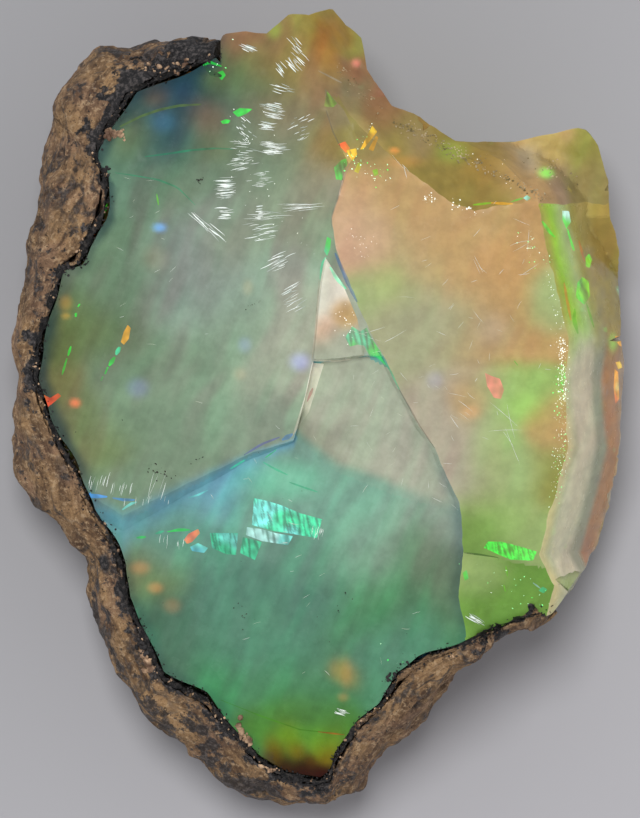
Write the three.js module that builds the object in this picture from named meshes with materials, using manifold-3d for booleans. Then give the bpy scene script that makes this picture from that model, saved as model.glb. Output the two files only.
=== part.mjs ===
// A broken chunk of rough precious opal, lying with its fresh faces up.
// Three bodies grown against each other: the opal, the black manganese skin around it, and the
// clayey host rock that still wraps its left, lower and under sides.
//
// Millimetres. +X is to the right and +Y towards the spike when the fresh faces are looked at
// from above, +Z is up. z = 0 is the worn flat of the host rock that the chunk lies on.
import * as THREE from 'three';
import { mergeVertices } from 'three/addons/utils/BufferGeometryUtils.js';
import Module from 'manifold-3d';

const wasm = await Module();
wasm.setup();

// Driving sizes
const LOFT_TOP = 15; // where the bodies' blanks end, above the broken surface
const SKY = 18; // top of the cutting tool
const CLEARANCE = 0.12; // air left between bodies that touch in the real stone
const SKIN = 0.36; // thickness of the manganese skin
const LIP_SHARE = 0.5; // share of the rock's visible width that is its broken upper edge
const ROCK_SHARE = 0.78; // thickness of the rock at its widest, as a share of that width
const ROCK_LEAST = 0.9; // thinnest that the rock gets
const ROCK_FLOOR = 1.5; // thickness of the rock under the opal
const ROCK_FROM = 106.5; // angle, in degrees, at which the rock wall starts
const ROCK_TO = 317; // angle at which it ends
const ROCK_UPPER_END = [-4.7, 12.4]; // where the rock wall ends, at the spike and at the right
const ROCK_LOWER_END = [9.9, -8.3];
const ROCK_FOOT_EDGE = 4.8; // how far to the right the rock reaches under the opal
const FOOT_SPAN = [-6, 9]; // from this y to this y
const LIFT_FROM = 4; // right of here the underside rises off the ground
const LIFT_SLOPE = 0.22;
const LIFT_FADE = 6; // height over which that rise fades out
const FOOT_EDGE_WAVES = [[0.7, 0.55, 1], [0.4, 1.7, 0]]; // size, turns per mm and start of its waves
const RIM_INSET = 0.3; // least width of the rock seen from above
const LIP_LEAST = 0.5; // least thickness of the rock's wall

// Left and lower faces
const LEFT_SLOPE = 0.19;
const HOLLOW = 1.5; // depth of the scoop, and how much shallower it gets lower down
const HOLLOW_LOSS = 1;
const HOLLOW_LOSS_SPAN = [2, 8]; // from and to this far below the middle
const HOLLOW_REACH = 3.5;
const STEP_DEPTH = 0.45; // how far the lower face lies below the left face, and where that fades
const STEP_FADE = 5;
const TIP_FROM = 13; // below this the face dips to the tip
const TIP_SLOPE = 0.62;
// Right face
const RIGHT_SLOPE = 0.13;
const CORNER_FROM = 6.7; // below this its corner dips
const CORNER_SLOPE = 0.35;
const CORNER_EASE = 1.5;
const WALL_SLOPE = 1.6; // the wall beyond its right edge starts this steep
const WALL_BEND = 0.35;
// Crest behind the right face, and the low shelf behind that
const CREST_SLOPE = 0.9;
const BREAK_SLOPE = 1.6;
const SHELF_FROM = 5.2; // left of here there is no shelf
const SHELF_PLACE = [7, 9, 8.2]; // a point on it, and its slopes
const SHELF_SLOPES = [0.3, 0.22];
const SHELF_FRONT = 8.6;
const SHELF_FRONT_SLOPE = 1.3;
const RIND_SLOPE = 0.3; // outward dip of the rock's broken upper edge

// Walls
const TUCK_POWER = 1.7; // how roundly the walls tuck in below
const LEAST_RISE = 0.5; // least height between the widest place and the upper edge
const LUMPS = [[0.16, 5, 0.7], [0.11, 11, -0.9]]; // size, number round the stone and slant

// Fineness
const WIDEST_GAP = 7; // largest angle, in degrees, between two spokes of a body
const SIDE_LEVELS = [0, 0.5, 1.3, 2.5, 4, 5.7, 7.5, 9.3, 11, LOFT_TOP - 0.5];
const FLOOR_RINGS = [0.36, 0.7];
const FLOOR_ROUNDING = 0.2; // how soon the opal's wall starts above its floor
const FIELD_HALF = 16; // half width and length of the field that the upper surface is drawn on
const FIELD_LENGTH = 40;
const FIELD_ROWS = 31;
const LEFT_COLUMNS = 15; // columns over the left face, the right face and the wall
const RIGHT_COLUMNS = 9;
const WALL_COLUMNS = 5;
const FAR = 24; // clear of the stone in every direction

// Outline seen from above, anticlockwise from the right
const OUTLINE = [
  [13.8, 2.1], [13.5, 6.1], [13.3, 7.9], [13, 8.5], [12.9, 10.2], [12.4, 11.8], [11.9, 12.5],
  [11.5, 12.6], [10.2, 12.4], [8.8, 12.1], [6, 12.1], [5.2, 12.8], [4.4, 13.3], [3.1, 13.6],
  [2.3, 14.8], [2, 15.3], [1.9, 16.4], [1.8, 17.1], [1.3, 17.6], [0.4, 18], [-0.6, 17.6],
  [-1.5, 17.6], [-2.5, 16.8], [-3.5, 17], [-4.4, 16.8], [-5.2, 16.3], [-6.5, 16.6], [-7.9, 16.6],
  [-8.6, 16.2], [-10, 16.1], [-11.3, 14.8], [-12, 14], [-12.3, 12.2], [-13.1, 8.4], [-13.5, 7.1],
  [-13.8, 2.7], [-13.9, 0.1], [-13.7, -3.1], [-13.2, -4], [-12.2, -5], [-10.8, -7], [-10.5, -9.3],
  [-9.8, -11], [-8.1, -14], [-6.2, -15.2], [-6, -15.8], [-3.7, -17.1], [-1.6, -18], [0.2, -17.8],
  [1.6, -17.2], [3.2, -15.3], [4.7, -13.9], [6.2, -11.8], [7.9, -10.4], [10.3, -9.3], [11.3, -8.2],
  [12.2, -6.7], [12.8, -6.3], [13, -5], [13.5, -1.2],
];

// Edge of the opal inside the rock, anticlockwise from the rock's upper end to its right end
const RIM = [
  [-4.6, 16], [-6, 15.4], [-7.7, 14.7], [-8.5, 14.4], [-9.4, 13.1], [-10.4, 11.3], [-9.8, 10.6],
  [-9.8, 8.8], [-10.7, 7.4], [-11, 6.5], [-11.8, 6.2], [-12.9, 3], [-13, 1.3], [-12.5, -0.5],
  [-11.3, -2.8], [-10.5, -4.7], [-9.8, -5.6], [-9.1, -7.2], [-8.9, -8.8], [-8.1, -10.3],
  [-7.3, -12.2], [-5.3, -13.2], [-4.2, -14.5], [-2.9, -16], [-1.6, -16.7], [-0.1, -17.1],
  [0.4, -16.7], [0.5, -16], [1.6, -14.3], [2.6, -13.6], [3.4, -12.1], [4.4, -11.5], [6.4, -10.8],
  [8.8, -9.7], [10.3, -9.3],
];

// The crease between the two great faces: x against y, and its height against y
const CREASE_X = [
  [-18, 6.8], [-9.9, 6.4], [-8.5, 6.1], [-6.4, 6.3], [-4.3, 6.1], [-1.8, 5], [-0.8, 4.3], [1.7, 3],
  [3.8, 1.9], [5.5, 1.1], [7.1, 0.6], [8.5, 0.4], [9.4, 0.7], [11, 1.2], [11.7, 0.7], [13.3, 0.2],
  [18, 0],
];
const CREASE_Z = [[-18, 11.2], [-10, 11.2], [-5, 12.2], [0, 13], [5, 13.4], [11, 13.2], [18, 11]];
// Step between the left face and the lower face: y against x
const STEP_Y = [
  [-14, -3.6], [-10.8, -3.8], [-9, -4.9], [-7.2, -4], [-3.5, -2.2], [-1.3, -1.5], [-0.8, 0.3],
  [-0.4, 2.1], [2, 2.3], [4, 2.4],
];
// Rough crest at the upper side of the right face, and the break behind it: y against x
const CREST_Y = [
  [0.2, 15], [1.2, 13], [2.3, 12], [3.3, 11], [4.3, 10.2], [6, 9], [6.8, 8.8], [8.5, 9.1], [13, 9.2],
];
const BREAK_Y = [[2.4, 20], [3.1, 13.8], [5.2, 12.9], [6, 12.1], [8, 11.1], [9.2, 9.8], [13, 9.3]];
// Right edge of the right face: x against y
const EDGE_X = [
  [-12, 9.9], [-9.3, 10.1], [-8, 10.4], [-6.6, 9.7], [-3.7, 10.5], [-1.8, 11], [1.2, 10.8],
  [3.1, 11], [4.8, 10.6], [6.7, 10.1], [9.1, 9.7], [14, 9.6],
];
// Height at which the wall is widest, and how far it tucks in below, against the angle
const WIDEST_Z = [
  [0, 3], [30, 3], [40, 5.5], [56, 6], [64, 9], [104, 9.2], [114, 5.2], [200, 4.6], [300, 4.4],
  [320, 3.2], [360, 3],
];
const TUCK = [[0, 0.17], [60, 0.2], [100, 0.24], [130, 0.32], [240, 0.34], [300, 0.26], [360, 0.17]];

// Straight-line reading of a table of [key, value] pairs
function readTable(table, key) {
  if (key <= table[0][0]) return table[0][1];
  for (let i = 1; i < table.length; i += 1) {
    const [k0, v0] = table[i - 1];
    const [k1, v1] = table[i];
    if (key <= k1) return v0 + ((v1 - v0) * (key - k0)) / (k1 - k0);
  }
  return table[table.length - 1][1];
}

const degrees = (x, y) => (THREE.MathUtils.radToDeg(Math.atan2(y, x)) + 360) % 360;

// Distance from the axis to an outline, in a direction; 0 where the outline has a gap there
function reach(outline, angle, closed) {
  const dx = Math.cos(THREE.MathUtils.degToRad(angle));
  const dy = Math.sin(THREE.MathUtils.degToRad(angle));
  let far = 0;
  for (let i = closed ? 0 : 1; i < outline.length; i += 1) {
    const [ax, ay] = outline[(i + outline.length - 1) % outline.length];
    const [bx, by] = outline[i];
    const ex = bx - ax;
    const ey = by - ay;
    const cross = dx * ey - dy * ex;
    if (Math.abs(cross) < 1e-9) continue;
    const along = (ax * ey - ay * ex) / cross;
    const share = (ax * dy - ay * dx) / cross;
    if (along > 0 && share >= 0 && share <= 1) far = Math.max(far, along);
  }
  return far;
}

// Directions that every body is drawn along: the outline's corners, and more where they are sparse
function spokeAngles() {
  const corners = OUTLINE.map(([x, y]) => degrees(x, y)).sort((a, b) => a - b);
  const angles = [];
  corners.forEach((from, i) => {
    const to = i + 1 < corners.length ? corners[i + 1] : corners[0] + 360;
    const parts = Math.ceil((to - from) / WIDEST_GAP);
    for (let k = 0; k < parts; k += 1) angles.push((from + ((to - from) * k) / parts) % 360);
  });
  return angles;
}
const SPOKES = spokeAngles();

const hasRock = (angle) => angle >= ROCK_FROM && angle <= ROCK_TO;
const outlineReach = (angle) => reach(OUTLINE, angle, true);

// Reach of the opal's upper edge. Past the rock's ends it is the outline itself.
function rimReach(angle) {
  const rim = hasRock(angle) ? reach(RIM, angle, false) : 0;
  return rim > 0 ? Math.min(rim, outlineReach(angle) - RIM_INSET) : outlineReach(angle);
}

const softStep = (from, to, x) => THREE.MathUtils.smoothstep(x, from, to);

// Left and lower faces: shallow hollow scoops that rise to the crease, d away from it
function leftFace(x, y, d) {
  const hollow = HOLLOW - HOLLOW_LOSS * softStep(HOLLOW_LOSS_SPAN[0], HOLLOW_LOSS_SPAN[1], -y);
  const fall = LEFT_SLOPE * d + hollow * (1 - Math.exp(-d / HOLLOW_REACH));
  const below = readTable(STEP_Y, x) - y;
  const step = below > 0 ? STEP_DEPTH * Math.exp(-below / STEP_FADE) : 0;
  return fall + step + TIP_SLOPE * Math.max(0, -y - TIP_FROM);
}

// Right face and the wall that falls away beyond its edge, d away from the crease
function rightFace(x, y, d) {
  const beyond = Math.max(0, x - readTable(EDGE_X, y));
  const corner = Math.max(0, -y - CORNER_FROM) * softStep(0, CORNER_EASE, d);
  return RIGHT_SLOPE * d + WALL_SLOPE * beyond + WALL_BEND * beyond * beyond + CORNER_SLOPE * corner;
}

function shelfHeight(x, y) {
  const [placeX, placeY, placeZ] = SHELF_PLACE;
  const [slopeX, slopeY] = SHELF_SLOPES;
  const front = SHELF_FRONT_SLOPE * Math.max(0, SHELF_FRONT - y);
  return placeZ - slopeX * (x - placeX) - slopeY * (y - placeY) - front;
}

// Height of the broken upper surface
function topHeight(x, y) {
  const d = x - readTable(CREASE_X, y);
  const angle = degrees(x, y);
  let z = readTable(CREASE_Z, y) - (d < 0 ? leftFace(x, y, -d) : rightFace(x, y, d));
  if (d > 0) {
    z -= CREST_SLOPE * Math.max(0, y - readTable(CREST_Y, x));
    z -= BREAK_SLOPE * Math.max(0, y - readTable(BREAK_Y, x));
    if (x > SHELF_FROM) z = Math.max(z, shelfHeight(x, y));
  }
  const outside = hasRock(angle) ? Math.max(0, Math.hypot(x, y) - rimReach(angle)) : 0;
  return z - RIND_SLOPE * outside;
}

// Gentle lumps that keep the walls from looking turned
function lumps(angle, z) {
  const a = THREE.MathUtils.degToRad(angle);
  return LUMPS.reduce((sum, [size, count, slant]) => sum + size * Math.sin(count * a + slant * z), 0);
}

// Wall of the whole stone, at an angle and a height, for a given outline reach and upper reach
function wall(angle, z, wide, upper) {
  const widest = readTable(WIDEST_Z, angle);
  if (z < widest) {
    const under = Math.pow(1 - z / widest, TUCK_POWER);
    return wide * (1 - readTable(TUCK, angle) * under) + lumps(angle, z) * (z / widest);
  }
  const rim = rimReach(angle);
  const along = THREE.MathUtils.degToRad(angle);
  const lipHeight = topHeight(rim * Math.cos(along), rim * Math.sin(along));
  const over = Math.min(1, (z - widest) / Math.max(LEAST_RISE, lipHeight - widest));
  const waist = hasRock(angle) ? over * over : 0;
  return wide - (wide - upper) * waist + lumps(angle, z) * (1 - over);
}

function stoneWall(angle, z) {
  const wide = outlineReach(angle);
  const lip = (wide - rimReach(angle)) * LIP_SHARE;
  return wall(angle, z, wide, rimReach(angle) + lip);
}

// Boundary between the opal and the rock
function innerWall(angle, z) {
  const wide = outlineReach(angle);
  const rim = rimReach(angle);
  const thick = Math.max(ROCK_LEAST, (wide - rim) * ROCK_SHARE);
  const drawn = wall(angle, z, wide - thick, Math.min(rim, wide - thick));
  return Math.min(drawn, stoneWall(angle, z) - LIP_LEAST);
}

const riseAt = (x, z) => LIFT_SLOPE * Math.max(0, x - LIFT_FROM) * Math.max(0, 1 - z / LIFT_FADE);

// A closed body around the Z axis. wallAt gives its reach, floor the height of its lower side, and
// inset draws the wall in. The underside rises to the right, the same for every body, so that
// none crosses another.
function loft(wallAt, floor, inset) {
  const points = [];
  const triangles = [];
  const ring = (level, share) => {
    for (const angle of SPOKES) {
      const r = share * (wallAt(angle, level) - inset);
      const x = r * Math.cos(THREE.MathUtils.degToRad(angle));
      const y = r * Math.sin(THREE.MathUtils.degToRad(angle));
      const z = Math.max(level, floor + FLOOR_ROUNDING * level);
      points.push(x, y, z + riseAt(x, z));
    }
  };
  points.push(0, 0, floor);
  for (const share of FLOOR_RINGS) ring(0, share);
  for (const level of SIDE_LEVELS) ring(level, 1);
  const rings = FLOOR_RINGS.length + SIDE_LEVELS.length;
  const vertex = (k, i) => 1 + k * SPOKES.length + (i % SPOKES.length);
  for (let i = 0; i < SPOKES.length; i += 1) triangles.push(0, vertex(0, i + 1), vertex(0, i));
  for (let k = 0; k + 1 < rings; k += 1) {
    for (let i = 0; i < SPOKES.length; i += 1) {
      triangles.push(vertex(k, i), vertex(k, i + 1), vertex(k + 1, i + 1));
      triangles.push(vertex(k, i), vertex(k + 1, i + 1), vertex(k + 1, i));
    }
  }
  const apex = points.length / 3;
  points.push(0, 0, LOFT_TOP);
  for (let i = 0; i < SPOKES.length; i += 1) {
    triangles.push(vertex(rings - 1, i), vertex(rings - 1, i + 1), apex);
  }
  return solid(points, triangles);
}

function solid(points, triangles) {
  return new wasm.Manifold(
    new wasm.Mesh({
      numProp: 3,
      vertProperties: Float32Array.from(points),
      triVerts: Uint32Array.from(triangles),
    }),
  );
}

// Everything above the broken upper surface. Its columns follow the crease and the right edge.
function spaceAbove() {
  const columns = [];
  const addColumns = (fromX, toX, count) => {
    for (let i = 1; i <= count; i += 1) {
      columns.push((y) => fromX(y) + ((toX(y) - fromX(y)) * i) / count);
    }
  };
  const leftEnd = () => -FIELD_HALF;
  const rightEnd = () => FIELD_HALF;
  const crease = (y) => readTable(CREASE_X, y);
  const edge = (y) => readTable(EDGE_X, y);
  columns.push(leftEnd);
  addColumns(leftEnd, crease, LEFT_COLUMNS);
  addColumns(crease, edge, RIGHT_COLUMNS);
  addColumns(edge, rightEnd, WALL_COLUMNS);
  const positions = [];
  const tall = new THREE.BoxGeometry(1, 1, 1, columns.length - 1, FIELD_ROWS, 1);
  tall.deleteAttribute('normal');
  tall.deleteAttribute('uv');
  const box = mergeVertices(tall);
  const source = box.getAttribute('position');
  for (let i = 0; i < source.count; i += 1) {
    const column = Math.round((source.getX(i) + 0.5) * (columns.length - 1));
    const y = source.getY(i) * FIELD_LENGTH;
    const x = columns[column](y);
    positions.push(x, y, source.getZ(i) < 0 ? topHeight(x, y) : SKY);
  }
  return solid(positions, box.getIndex().array);
}

// The side of the stone that has no rock: everything right of a ragged line across its underside
// and of the rock's two ends. gap moves it away from the rock.
function clearSide(gap) {
  const ragged = (y) => FOOT_EDGE_WAVES.reduce((sum, [size, turn, start]) => (
    sum + size * Math.sin(turn * y + start)), ROCK_FOOT_EDGE);
  const outline = new THREE.Shape();
  outline.moveTo(FAR, -FAR);
  outline.lineTo(FAR, FAR);
  outline.lineTo(ROCK_UPPER_END[0], FAR);
  outline.lineTo(ROCK_UPPER_END[0], ROCK_UPPER_END[1]);
  for (let y = FOOT_SPAN[1]; y >= FOOT_SPAN[0]; y -= 1) outline.lineTo(ragged(y), y);
  outline.lineTo(ROCK_LOWER_END[0], ROCK_LOWER_END[1]);
  outline.lineTo(ROCK_LOWER_END[0], -FAR);
  const block = new THREE.ExtrudeGeometry(outline, { depth: 2 * SKY, bevelEnabled: false, steps: 1 });
  block.translate(gap, gap, -SKY);
  block.deleteAttribute('normal');
  block.deleteAttribute('uv');
  const merged = mergeVertices(block);
  return solid(merged.getAttribute('position').array, merged.getIndex().array);
}

function toMesh(name, body, material) {
  const made = body.getMesh();
  const geometry = new THREE.BufferGeometry();
  geometry.setAttribute('position', new THREE.BufferAttribute(Float32Array.from(made.vertProperties), 3));
  geometry.setIndex(new THREE.BufferAttribute(Uint32Array.from(made.triVerts), 1));
  geometry.computeVertexNormals();
  const mesh = new THREE.Mesh(geometry, material);
  mesh.name = name;
  return mesh;
}

const OPAL_LOOK = new THREE.MeshStandardMaterial({ color: 0x93aa93, roughness: 0.12, metalness: 0 });
const SKIN_LOOK = new THREE.MeshStandardMaterial({ color: 0x1b1c1f, roughness: 0.55, metalness: 0 });
const ROCK_LOOK = new THREE.MeshStandardMaterial({ color: 0x8a6d52, roughness: 0.9, metalness: 0 });

const above = spaceAbove();
const stone = loft(stoneWall, 0, 0);
const inside = (inset) => loft(innerWall, ROCK_FLOOR + inset, inset);

const rockBody = stone.subtract(inside(0)).subtract(clearSide(0)).subtract(above);
const skinBody = inside(CLEARANCE).subtract(inside(CLEARANCE + SKIN)).intersect(stone)
  .subtract(clearSide(0)).subtract(above);
const opalBody = inside(2 * CLEARANCE + SKIN).add(clearSide(CLEARANCE)).intersect(stone)
  .subtract(above);

const specimen = new THREE.Group();
specimen.add(toMesh('opal_body', opalBody, OPAL_LOOK));
specimen.add(toMesh('manganese_skin', skinBody, SKIN_LOOK));
specimen.add(toMesh('host_rock', rockBody, ROCK_LOOK));

export default specimen;
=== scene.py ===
"""Finish and light for a broken chunk of rough precious opal."""
import math
from contextlib import contextmanager

import bmesh
import bpy
import numpy as np
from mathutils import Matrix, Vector
from mathutils.bvhtree import BVHTree
from mathutils.geometry import delaunay_2d_cdt
from mathutils.kdtree import KDTree


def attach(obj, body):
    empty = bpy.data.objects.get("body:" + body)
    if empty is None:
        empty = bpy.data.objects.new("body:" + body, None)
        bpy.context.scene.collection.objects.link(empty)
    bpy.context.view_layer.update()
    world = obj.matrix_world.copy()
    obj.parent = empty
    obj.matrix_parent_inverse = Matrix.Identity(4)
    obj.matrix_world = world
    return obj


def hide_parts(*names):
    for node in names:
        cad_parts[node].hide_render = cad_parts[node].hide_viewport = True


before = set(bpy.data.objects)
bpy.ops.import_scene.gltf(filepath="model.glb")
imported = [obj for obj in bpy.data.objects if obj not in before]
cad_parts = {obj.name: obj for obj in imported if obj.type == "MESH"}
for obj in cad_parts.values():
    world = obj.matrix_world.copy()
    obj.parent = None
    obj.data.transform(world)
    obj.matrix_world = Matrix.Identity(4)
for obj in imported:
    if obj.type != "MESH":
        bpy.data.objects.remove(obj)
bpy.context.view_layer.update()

# Lengths below are millimetres and are brought to metres when a mesh is finished.
MM = 0.001
PHOTO_SIZE = (640, 818)
PHOTO_CENTRE = (322.5, 407.0)
MM_PER_PIXEL = 0.045
FULL_TURN = 6.283

# Fineness of the meshes
FACE_GRAIN = 0.135
FLASH_GRAIN = 0.055
ROW_STEP = 0.866  # between the rows of a field of points, as a share of its grain
STIR = 0.18  # how far a field's points stray, as a share of its grain
LINE_CLEARANCE = 0.09
SPOKES = 720
WALL_ROWS = 40
WALL_LEVELS = (0.03, 13.2, 0.25)  # lowest, highest and step
ROOF_CLEARANCE = 0.3  # between the wall's highest level and the upper face
WELL_OUTSIDE = 40.0  # rays towards the wall start this far out
WELL_BELOW = -5.0
END_REACH = 7.0  # degrees over which the rock's two ends are torn
STEEPEST = 0.3  # how far the wall may step in between two levels before it counts as the upper face
FLOOR_SHARES = (0.8, 0.6, 0.4, 0.2)
ROCK_GRAIN = 0.18
FILM_GRAIN = 0.13
FILM_COARSE = 1.4  # where nothing of the film shows
FILM_SHOWN = 0.28  # what shows of the film between opal and rock
FENCE_SHARE = 0.985  # loose grains stay inside this share of the opal's outline
SHARP_DEGREES = {"opal": 21, "rock": 40, "film": 50}


def spot(px, py):
    """A place on the face, from where it shows in the photograph."""
    return (px - PHOTO_CENTRE[0]) * MM_PER_PIXEL, (PHOTO_CENTRE[1] - py) * MM_PER_PIXEL


def spots(*pairs):
    """The same for several places, as an array."""
    return np.array([spot(px, py) for px, py in pairs])


# Lines that shape the chunk, the same as in its construction
CREASE_X = np.array([
    [-18, 6.8], [-9.9, 6.4], [-8.5, 6.1], [-6.4, 6.3], [-4.3, 6.1], [-1.8, 5], [-0.8, 4.3], [1.7, 3],
    [3.8, 1.9], [5.5, 1.1], [7.1, 0.6], [8.5, 0.4], [9.4, 0.7], [11, 1.2], [11.7, 0.7], [13.3, 0.2],
    [18, 0],
])
CREASE_Z = np.array([[-18, 11.2], [-10, 11.2], [-5, 12.2], [0, 13], [5, 13.4], [11, 13.2], [18, 11]])
STEP_Y = np.array([
    [-14, -3.6], [-10.8, -3.8], [-9, -4.9], [-7.2, -4], [-3.5, -2.2], [-1.3, -1.5], [-0.8, 0.3],
    [-0.4, 2.1], [2, 2.3], [4, 2.4],
])
CREST_Y = np.array([
    [-1.3, 18], [0.2, 15], [1.2, 13], [2.3, 12], [3.3, 11], [4.3, 10.2], [6, 9], [6.8, 8.8], [8.5, 9.1],
    [13, 9.2],
])
BREAK_Y = np.array([[2.4, 20], [3.1, 13.8], [5.2, 12.9], [6, 12.1], [8, 11.1], [9.2, 9.8], [13, 9.3]])
EDGE_X = np.array([
    [-12, 9.9], [-9.3, 10.1], [-8, 10.4], [-6.6, 9.7], [-3.7, 10.5], [-1.8, 11], [1.2, 10.8], [3.1, 11],
    [4.8, 10.6], [6.7, 10.1], [9.1, 9.7], [14, 9.6],
])
RIM = np.array([
    [-4.6, 16], [-6, 15.4], [-7.7, 14.7], [-8.5, 14.4], [-9.4, 13.1], [-10.4, 11.3], [-9.8, 10.6],
    [-9.8, 8.8], [-10.7, 7.4], [-11, 6.5], [-11.8, 6.2], [-12.9, 3], [-13, 1.3], [-12.5, -0.5],
    [-11.3, -2.8], [-10.5, -4.7], [-9.8, -5.6], [-9.1, -7.2], [-8.9, -8.8], [-8.1, -10.3], [-7.3, -12.2],
    [-5.3, -13.2], [-4.2, -14.5], [-2.9, -16], [-1.6, -16.7], [-0.1, -17.1], [0.4, -16.7], [0.5, -16],
    [1.6, -14.3], [2.6, -13.6], [3.4, -12.1], [4.4, -11.5], [6.4, -10.8], [8.8, -9.7], [10.3, -9.3],
])
ROCK_ANGLES = (106.5, 317.0)
STEP_DEPTH = 0.45
STEP_AT_CREASE = 0.2  # width over which the step falls away from the crease
SPIKE_FOOT = (12.8, 14.4)  # where the sharp crease rounds off into the spike
SPIKE_ROUND = 0.9
TIP_Y = -13.2  # below this the left side falls to its lowest tip
TIP_ROUND = 0.6
CORNER_Y = -6.7
SCOOP_DEPTH = 1.5  # of the left face's hollow, which is less deep below
SCOOP_LESS = 1.0
SCOOP_REACH = 3.5
WALL_BOW = 0.35  # how the free wall grows steeper outward
SHELF_X = 5.2  # the shelf behind the crest starts here
SHELF_HEIGHT = 8.2
SHELF_AT = (7.0, 9.0)
SHELF_EDGE_Y = 8.6
EDGE_STRAY = 1.5  # how much more than the creases the edge of the wall and the crest wander
CREST_STRAY = 2.0
FAR_INSIDE = -9.0
# How steeply each face falls away from the crease or from the edge before it
FALLS = {"left": 0.19, "tip": 0.62, "right": 0.13, "wall": 1.6, "corner": 0.35, "crest": 0.9, "break": 1.6}
# How far the black reaches from the opal's rim, against the angle
STAIN_WIDTH = np.array([
    [100, 1.3], [122, 1.3], [132, 0.9], [146, 0.5], [156, 0.6], [162, 0.3], [172, 0.45], [184, 0.5],
    [190, 0.22], [212, 0.25], [226, 0.6], [240, 0.4], [252, 0.5], [262, 0.7], [270, 0.6], [276, 0.2],
    [290, 0.05], [317, 0.05],
])

# How blotched with black the rock is, against the angle: real black blotches, and on the lower side also
# painted shade where the rock faces away from the light
BLOTCHES_AND_SHADE = np.array([
    [106, 0.9], [125, 0.6], [140, 0.25], [158, 0.6], [168, 0.1], [200, 0.15], [218, 0.9], [232, 1.0],
    [244, 1.0], [258, 1.3], [268, 0.9], [278, 0.1], [317, 0.0],
])

# Small facets on the crest: the pale sliver, its lower tail, and the wedge by the spike
SLIVER = spots((325, 258), (320, 285), (317, 311), (312, 361), (342, 362), (364, 356), (357, 319), (343, 286))
SLIVER_TAIL = spots((312, 363), (305, 396), (292, 437), (309, 412), (324, 364))
WEDGE = spots((325, 90), (326, 112), (332, 133), (349, 166), (360, 146), (344, 112))
MIDDLE = spots(
    (296, 436), (314, 364), (368, 357), (392, 372), (436, 448), (462, 503), (455, 512), (392, 494),
    (333, 470),
)
MIDDLE_FOOT = MIDDLE[[0, 8, 7, 6]]


def read(table, key):
    """The second column of a table where its first one has a value."""
    return np.interp(key, table[:, 0], table[:, 1])


def ramp(low, high, value):
    """Rises smoothly from 0 to 1 between two values; falls if the first is the higher one."""
    t = np.clip((value - low) / (high - low), 0.0, 1.0)
    return t * t * (3.0 - 2.0 * t)


def lattice(ix, iy, iz, seed):
    """A repeatable random value for each whole-number place, from -1 to 1."""
    h = (ix * 374761393 + iy * 668265263 + iz * 1442695041 + seed * 974634777) & 0xFFFFFFFF
    h = ((h ^ (h >> 13)) * 1274126177) & 0xFFFFFFFF
    return ((h ^ (h >> 16)) & 0xFFFF) / 32767.5 - 1.0


# Turns the noise's own grid away from the axes
TILT = np.array([[0.36, 0.48, -0.8], [-0.8, 0.6, 0.0], [0.48, 0.64, 0.6]])
GRID_START = 1000.0  # keeps the grid's numbers above zero
NOISE_CELLS = 0.8  # of the grid in a feature's width
NOISE_GAIN = 2.1
BOWL_SHARPNESS = 14.0


def noise(points, size, seed):
    """Smooth noise with features about `size` millimetres across, mostly from -1 to 1."""
    p = (points @ TILT) * (NOISE_CELLS / size) + GRID_START
    base = np.floor(p).astype(np.int64)
    f = p - base
    w = f * f * f * (f * (f * 6.0 - 15.0) + 10.0)
    total = np.zeros(len(points))
    for dx in (0, 1):
        for dy in (0, 1):
            for dz in (0, 1):
                ix, iy, iz = base[:, 0] + dx, base[:, 1] + dy, base[:, 2] + dz
                h = lattice(ix, iy, iz, seed)
                slope = (h * (f[:, 0] - dx) + ((h * 7.0) % 2.0 - 1.0) * (f[:, 1] - dy)
                         + ((h * 43.0) % 2.0 - 1.0) * (f[:, 2] - dz))
                share = np.abs(1 - dx - w[:, 0]) * np.abs(1 - dy - w[:, 1]) * np.abs(1 - dz - w[:, 2])
                total += share * slope
    return NOISE_GAIN * total


def bowls(points, size, seed):
    """Shell-shaped hollows that meet in ridges: 0 in a hollow's middle, about 1 on the ridges."""
    p = (points @ TILT) / size + GRID_START
    base = np.floor(p).astype(np.int64)
    near = np.zeros(len(points))
    for dx in (-1, 0, 1):
        for dy in (-1, 0, 1):
            for dz in (-1, 0, 1):
                cell = base + np.array([dx, dy, dz])
                shift = np.stack([lattice(*cell.T, seed + k) for k in (0, 1, 2)], 1) * 0.5 + 0.5
                near += np.exp(-BOWL_SHARPNESS * ((cell + shift - p) ** 2).sum(1))
    return -np.log(near + 1e-9) / BOWL_SHARPNESS


def rough(points, size, octaves, seed):
    """Noise with finer and finer noise on top."""
    total = np.zeros(len(points))
    strength = 1.0
    for k in range(octaves):
        total += strength * noise(points, size / 2 ** k, seed + 17 * k)
        strength *= 0.5
    return total


def inside(polygon, x, y):
    """Which points lie inside a closed outline."""
    found = np.zeros(len(x), bool)
    for (ax, ay), (bx, by) in zip(polygon, np.roll(polygon, -1, 0)):
        crosses = (ay > y) != (by > y)
        with np.errstate(divide="ignore", invalid="ignore"):
            at = (bx - ax) * (y - ay) / (by - ay) + ax
        found ^= crosses & (x < at)
    return found


def along(path, x, y, closed=False):
    """Distance from points to a line of straight stretches, and how far along it they are."""
    ends = np.roll(path, -1, 0) if closed else path[1:]
    best = np.full(len(x), 1e9)
    place = np.zeros(len(x))
    passed = 0.0
    for (ax, ay), (bx, by) in zip(path, ends):
        ex, ey = bx - ax, by - ay
        length = math.hypot(ex, ey)
        t = np.clip(((x - ax) * ex + (y - ay) * ey) / length ** 2, 0.0, 1.0)
        gap = np.hypot(x - ax - t * ex, y - ay - t * ey)
        closer = gap < best
        best = np.where(closer, gap, best)
        place = np.where(closer, passed + t * length, place)
        passed += length
    return best, place / passed


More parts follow.
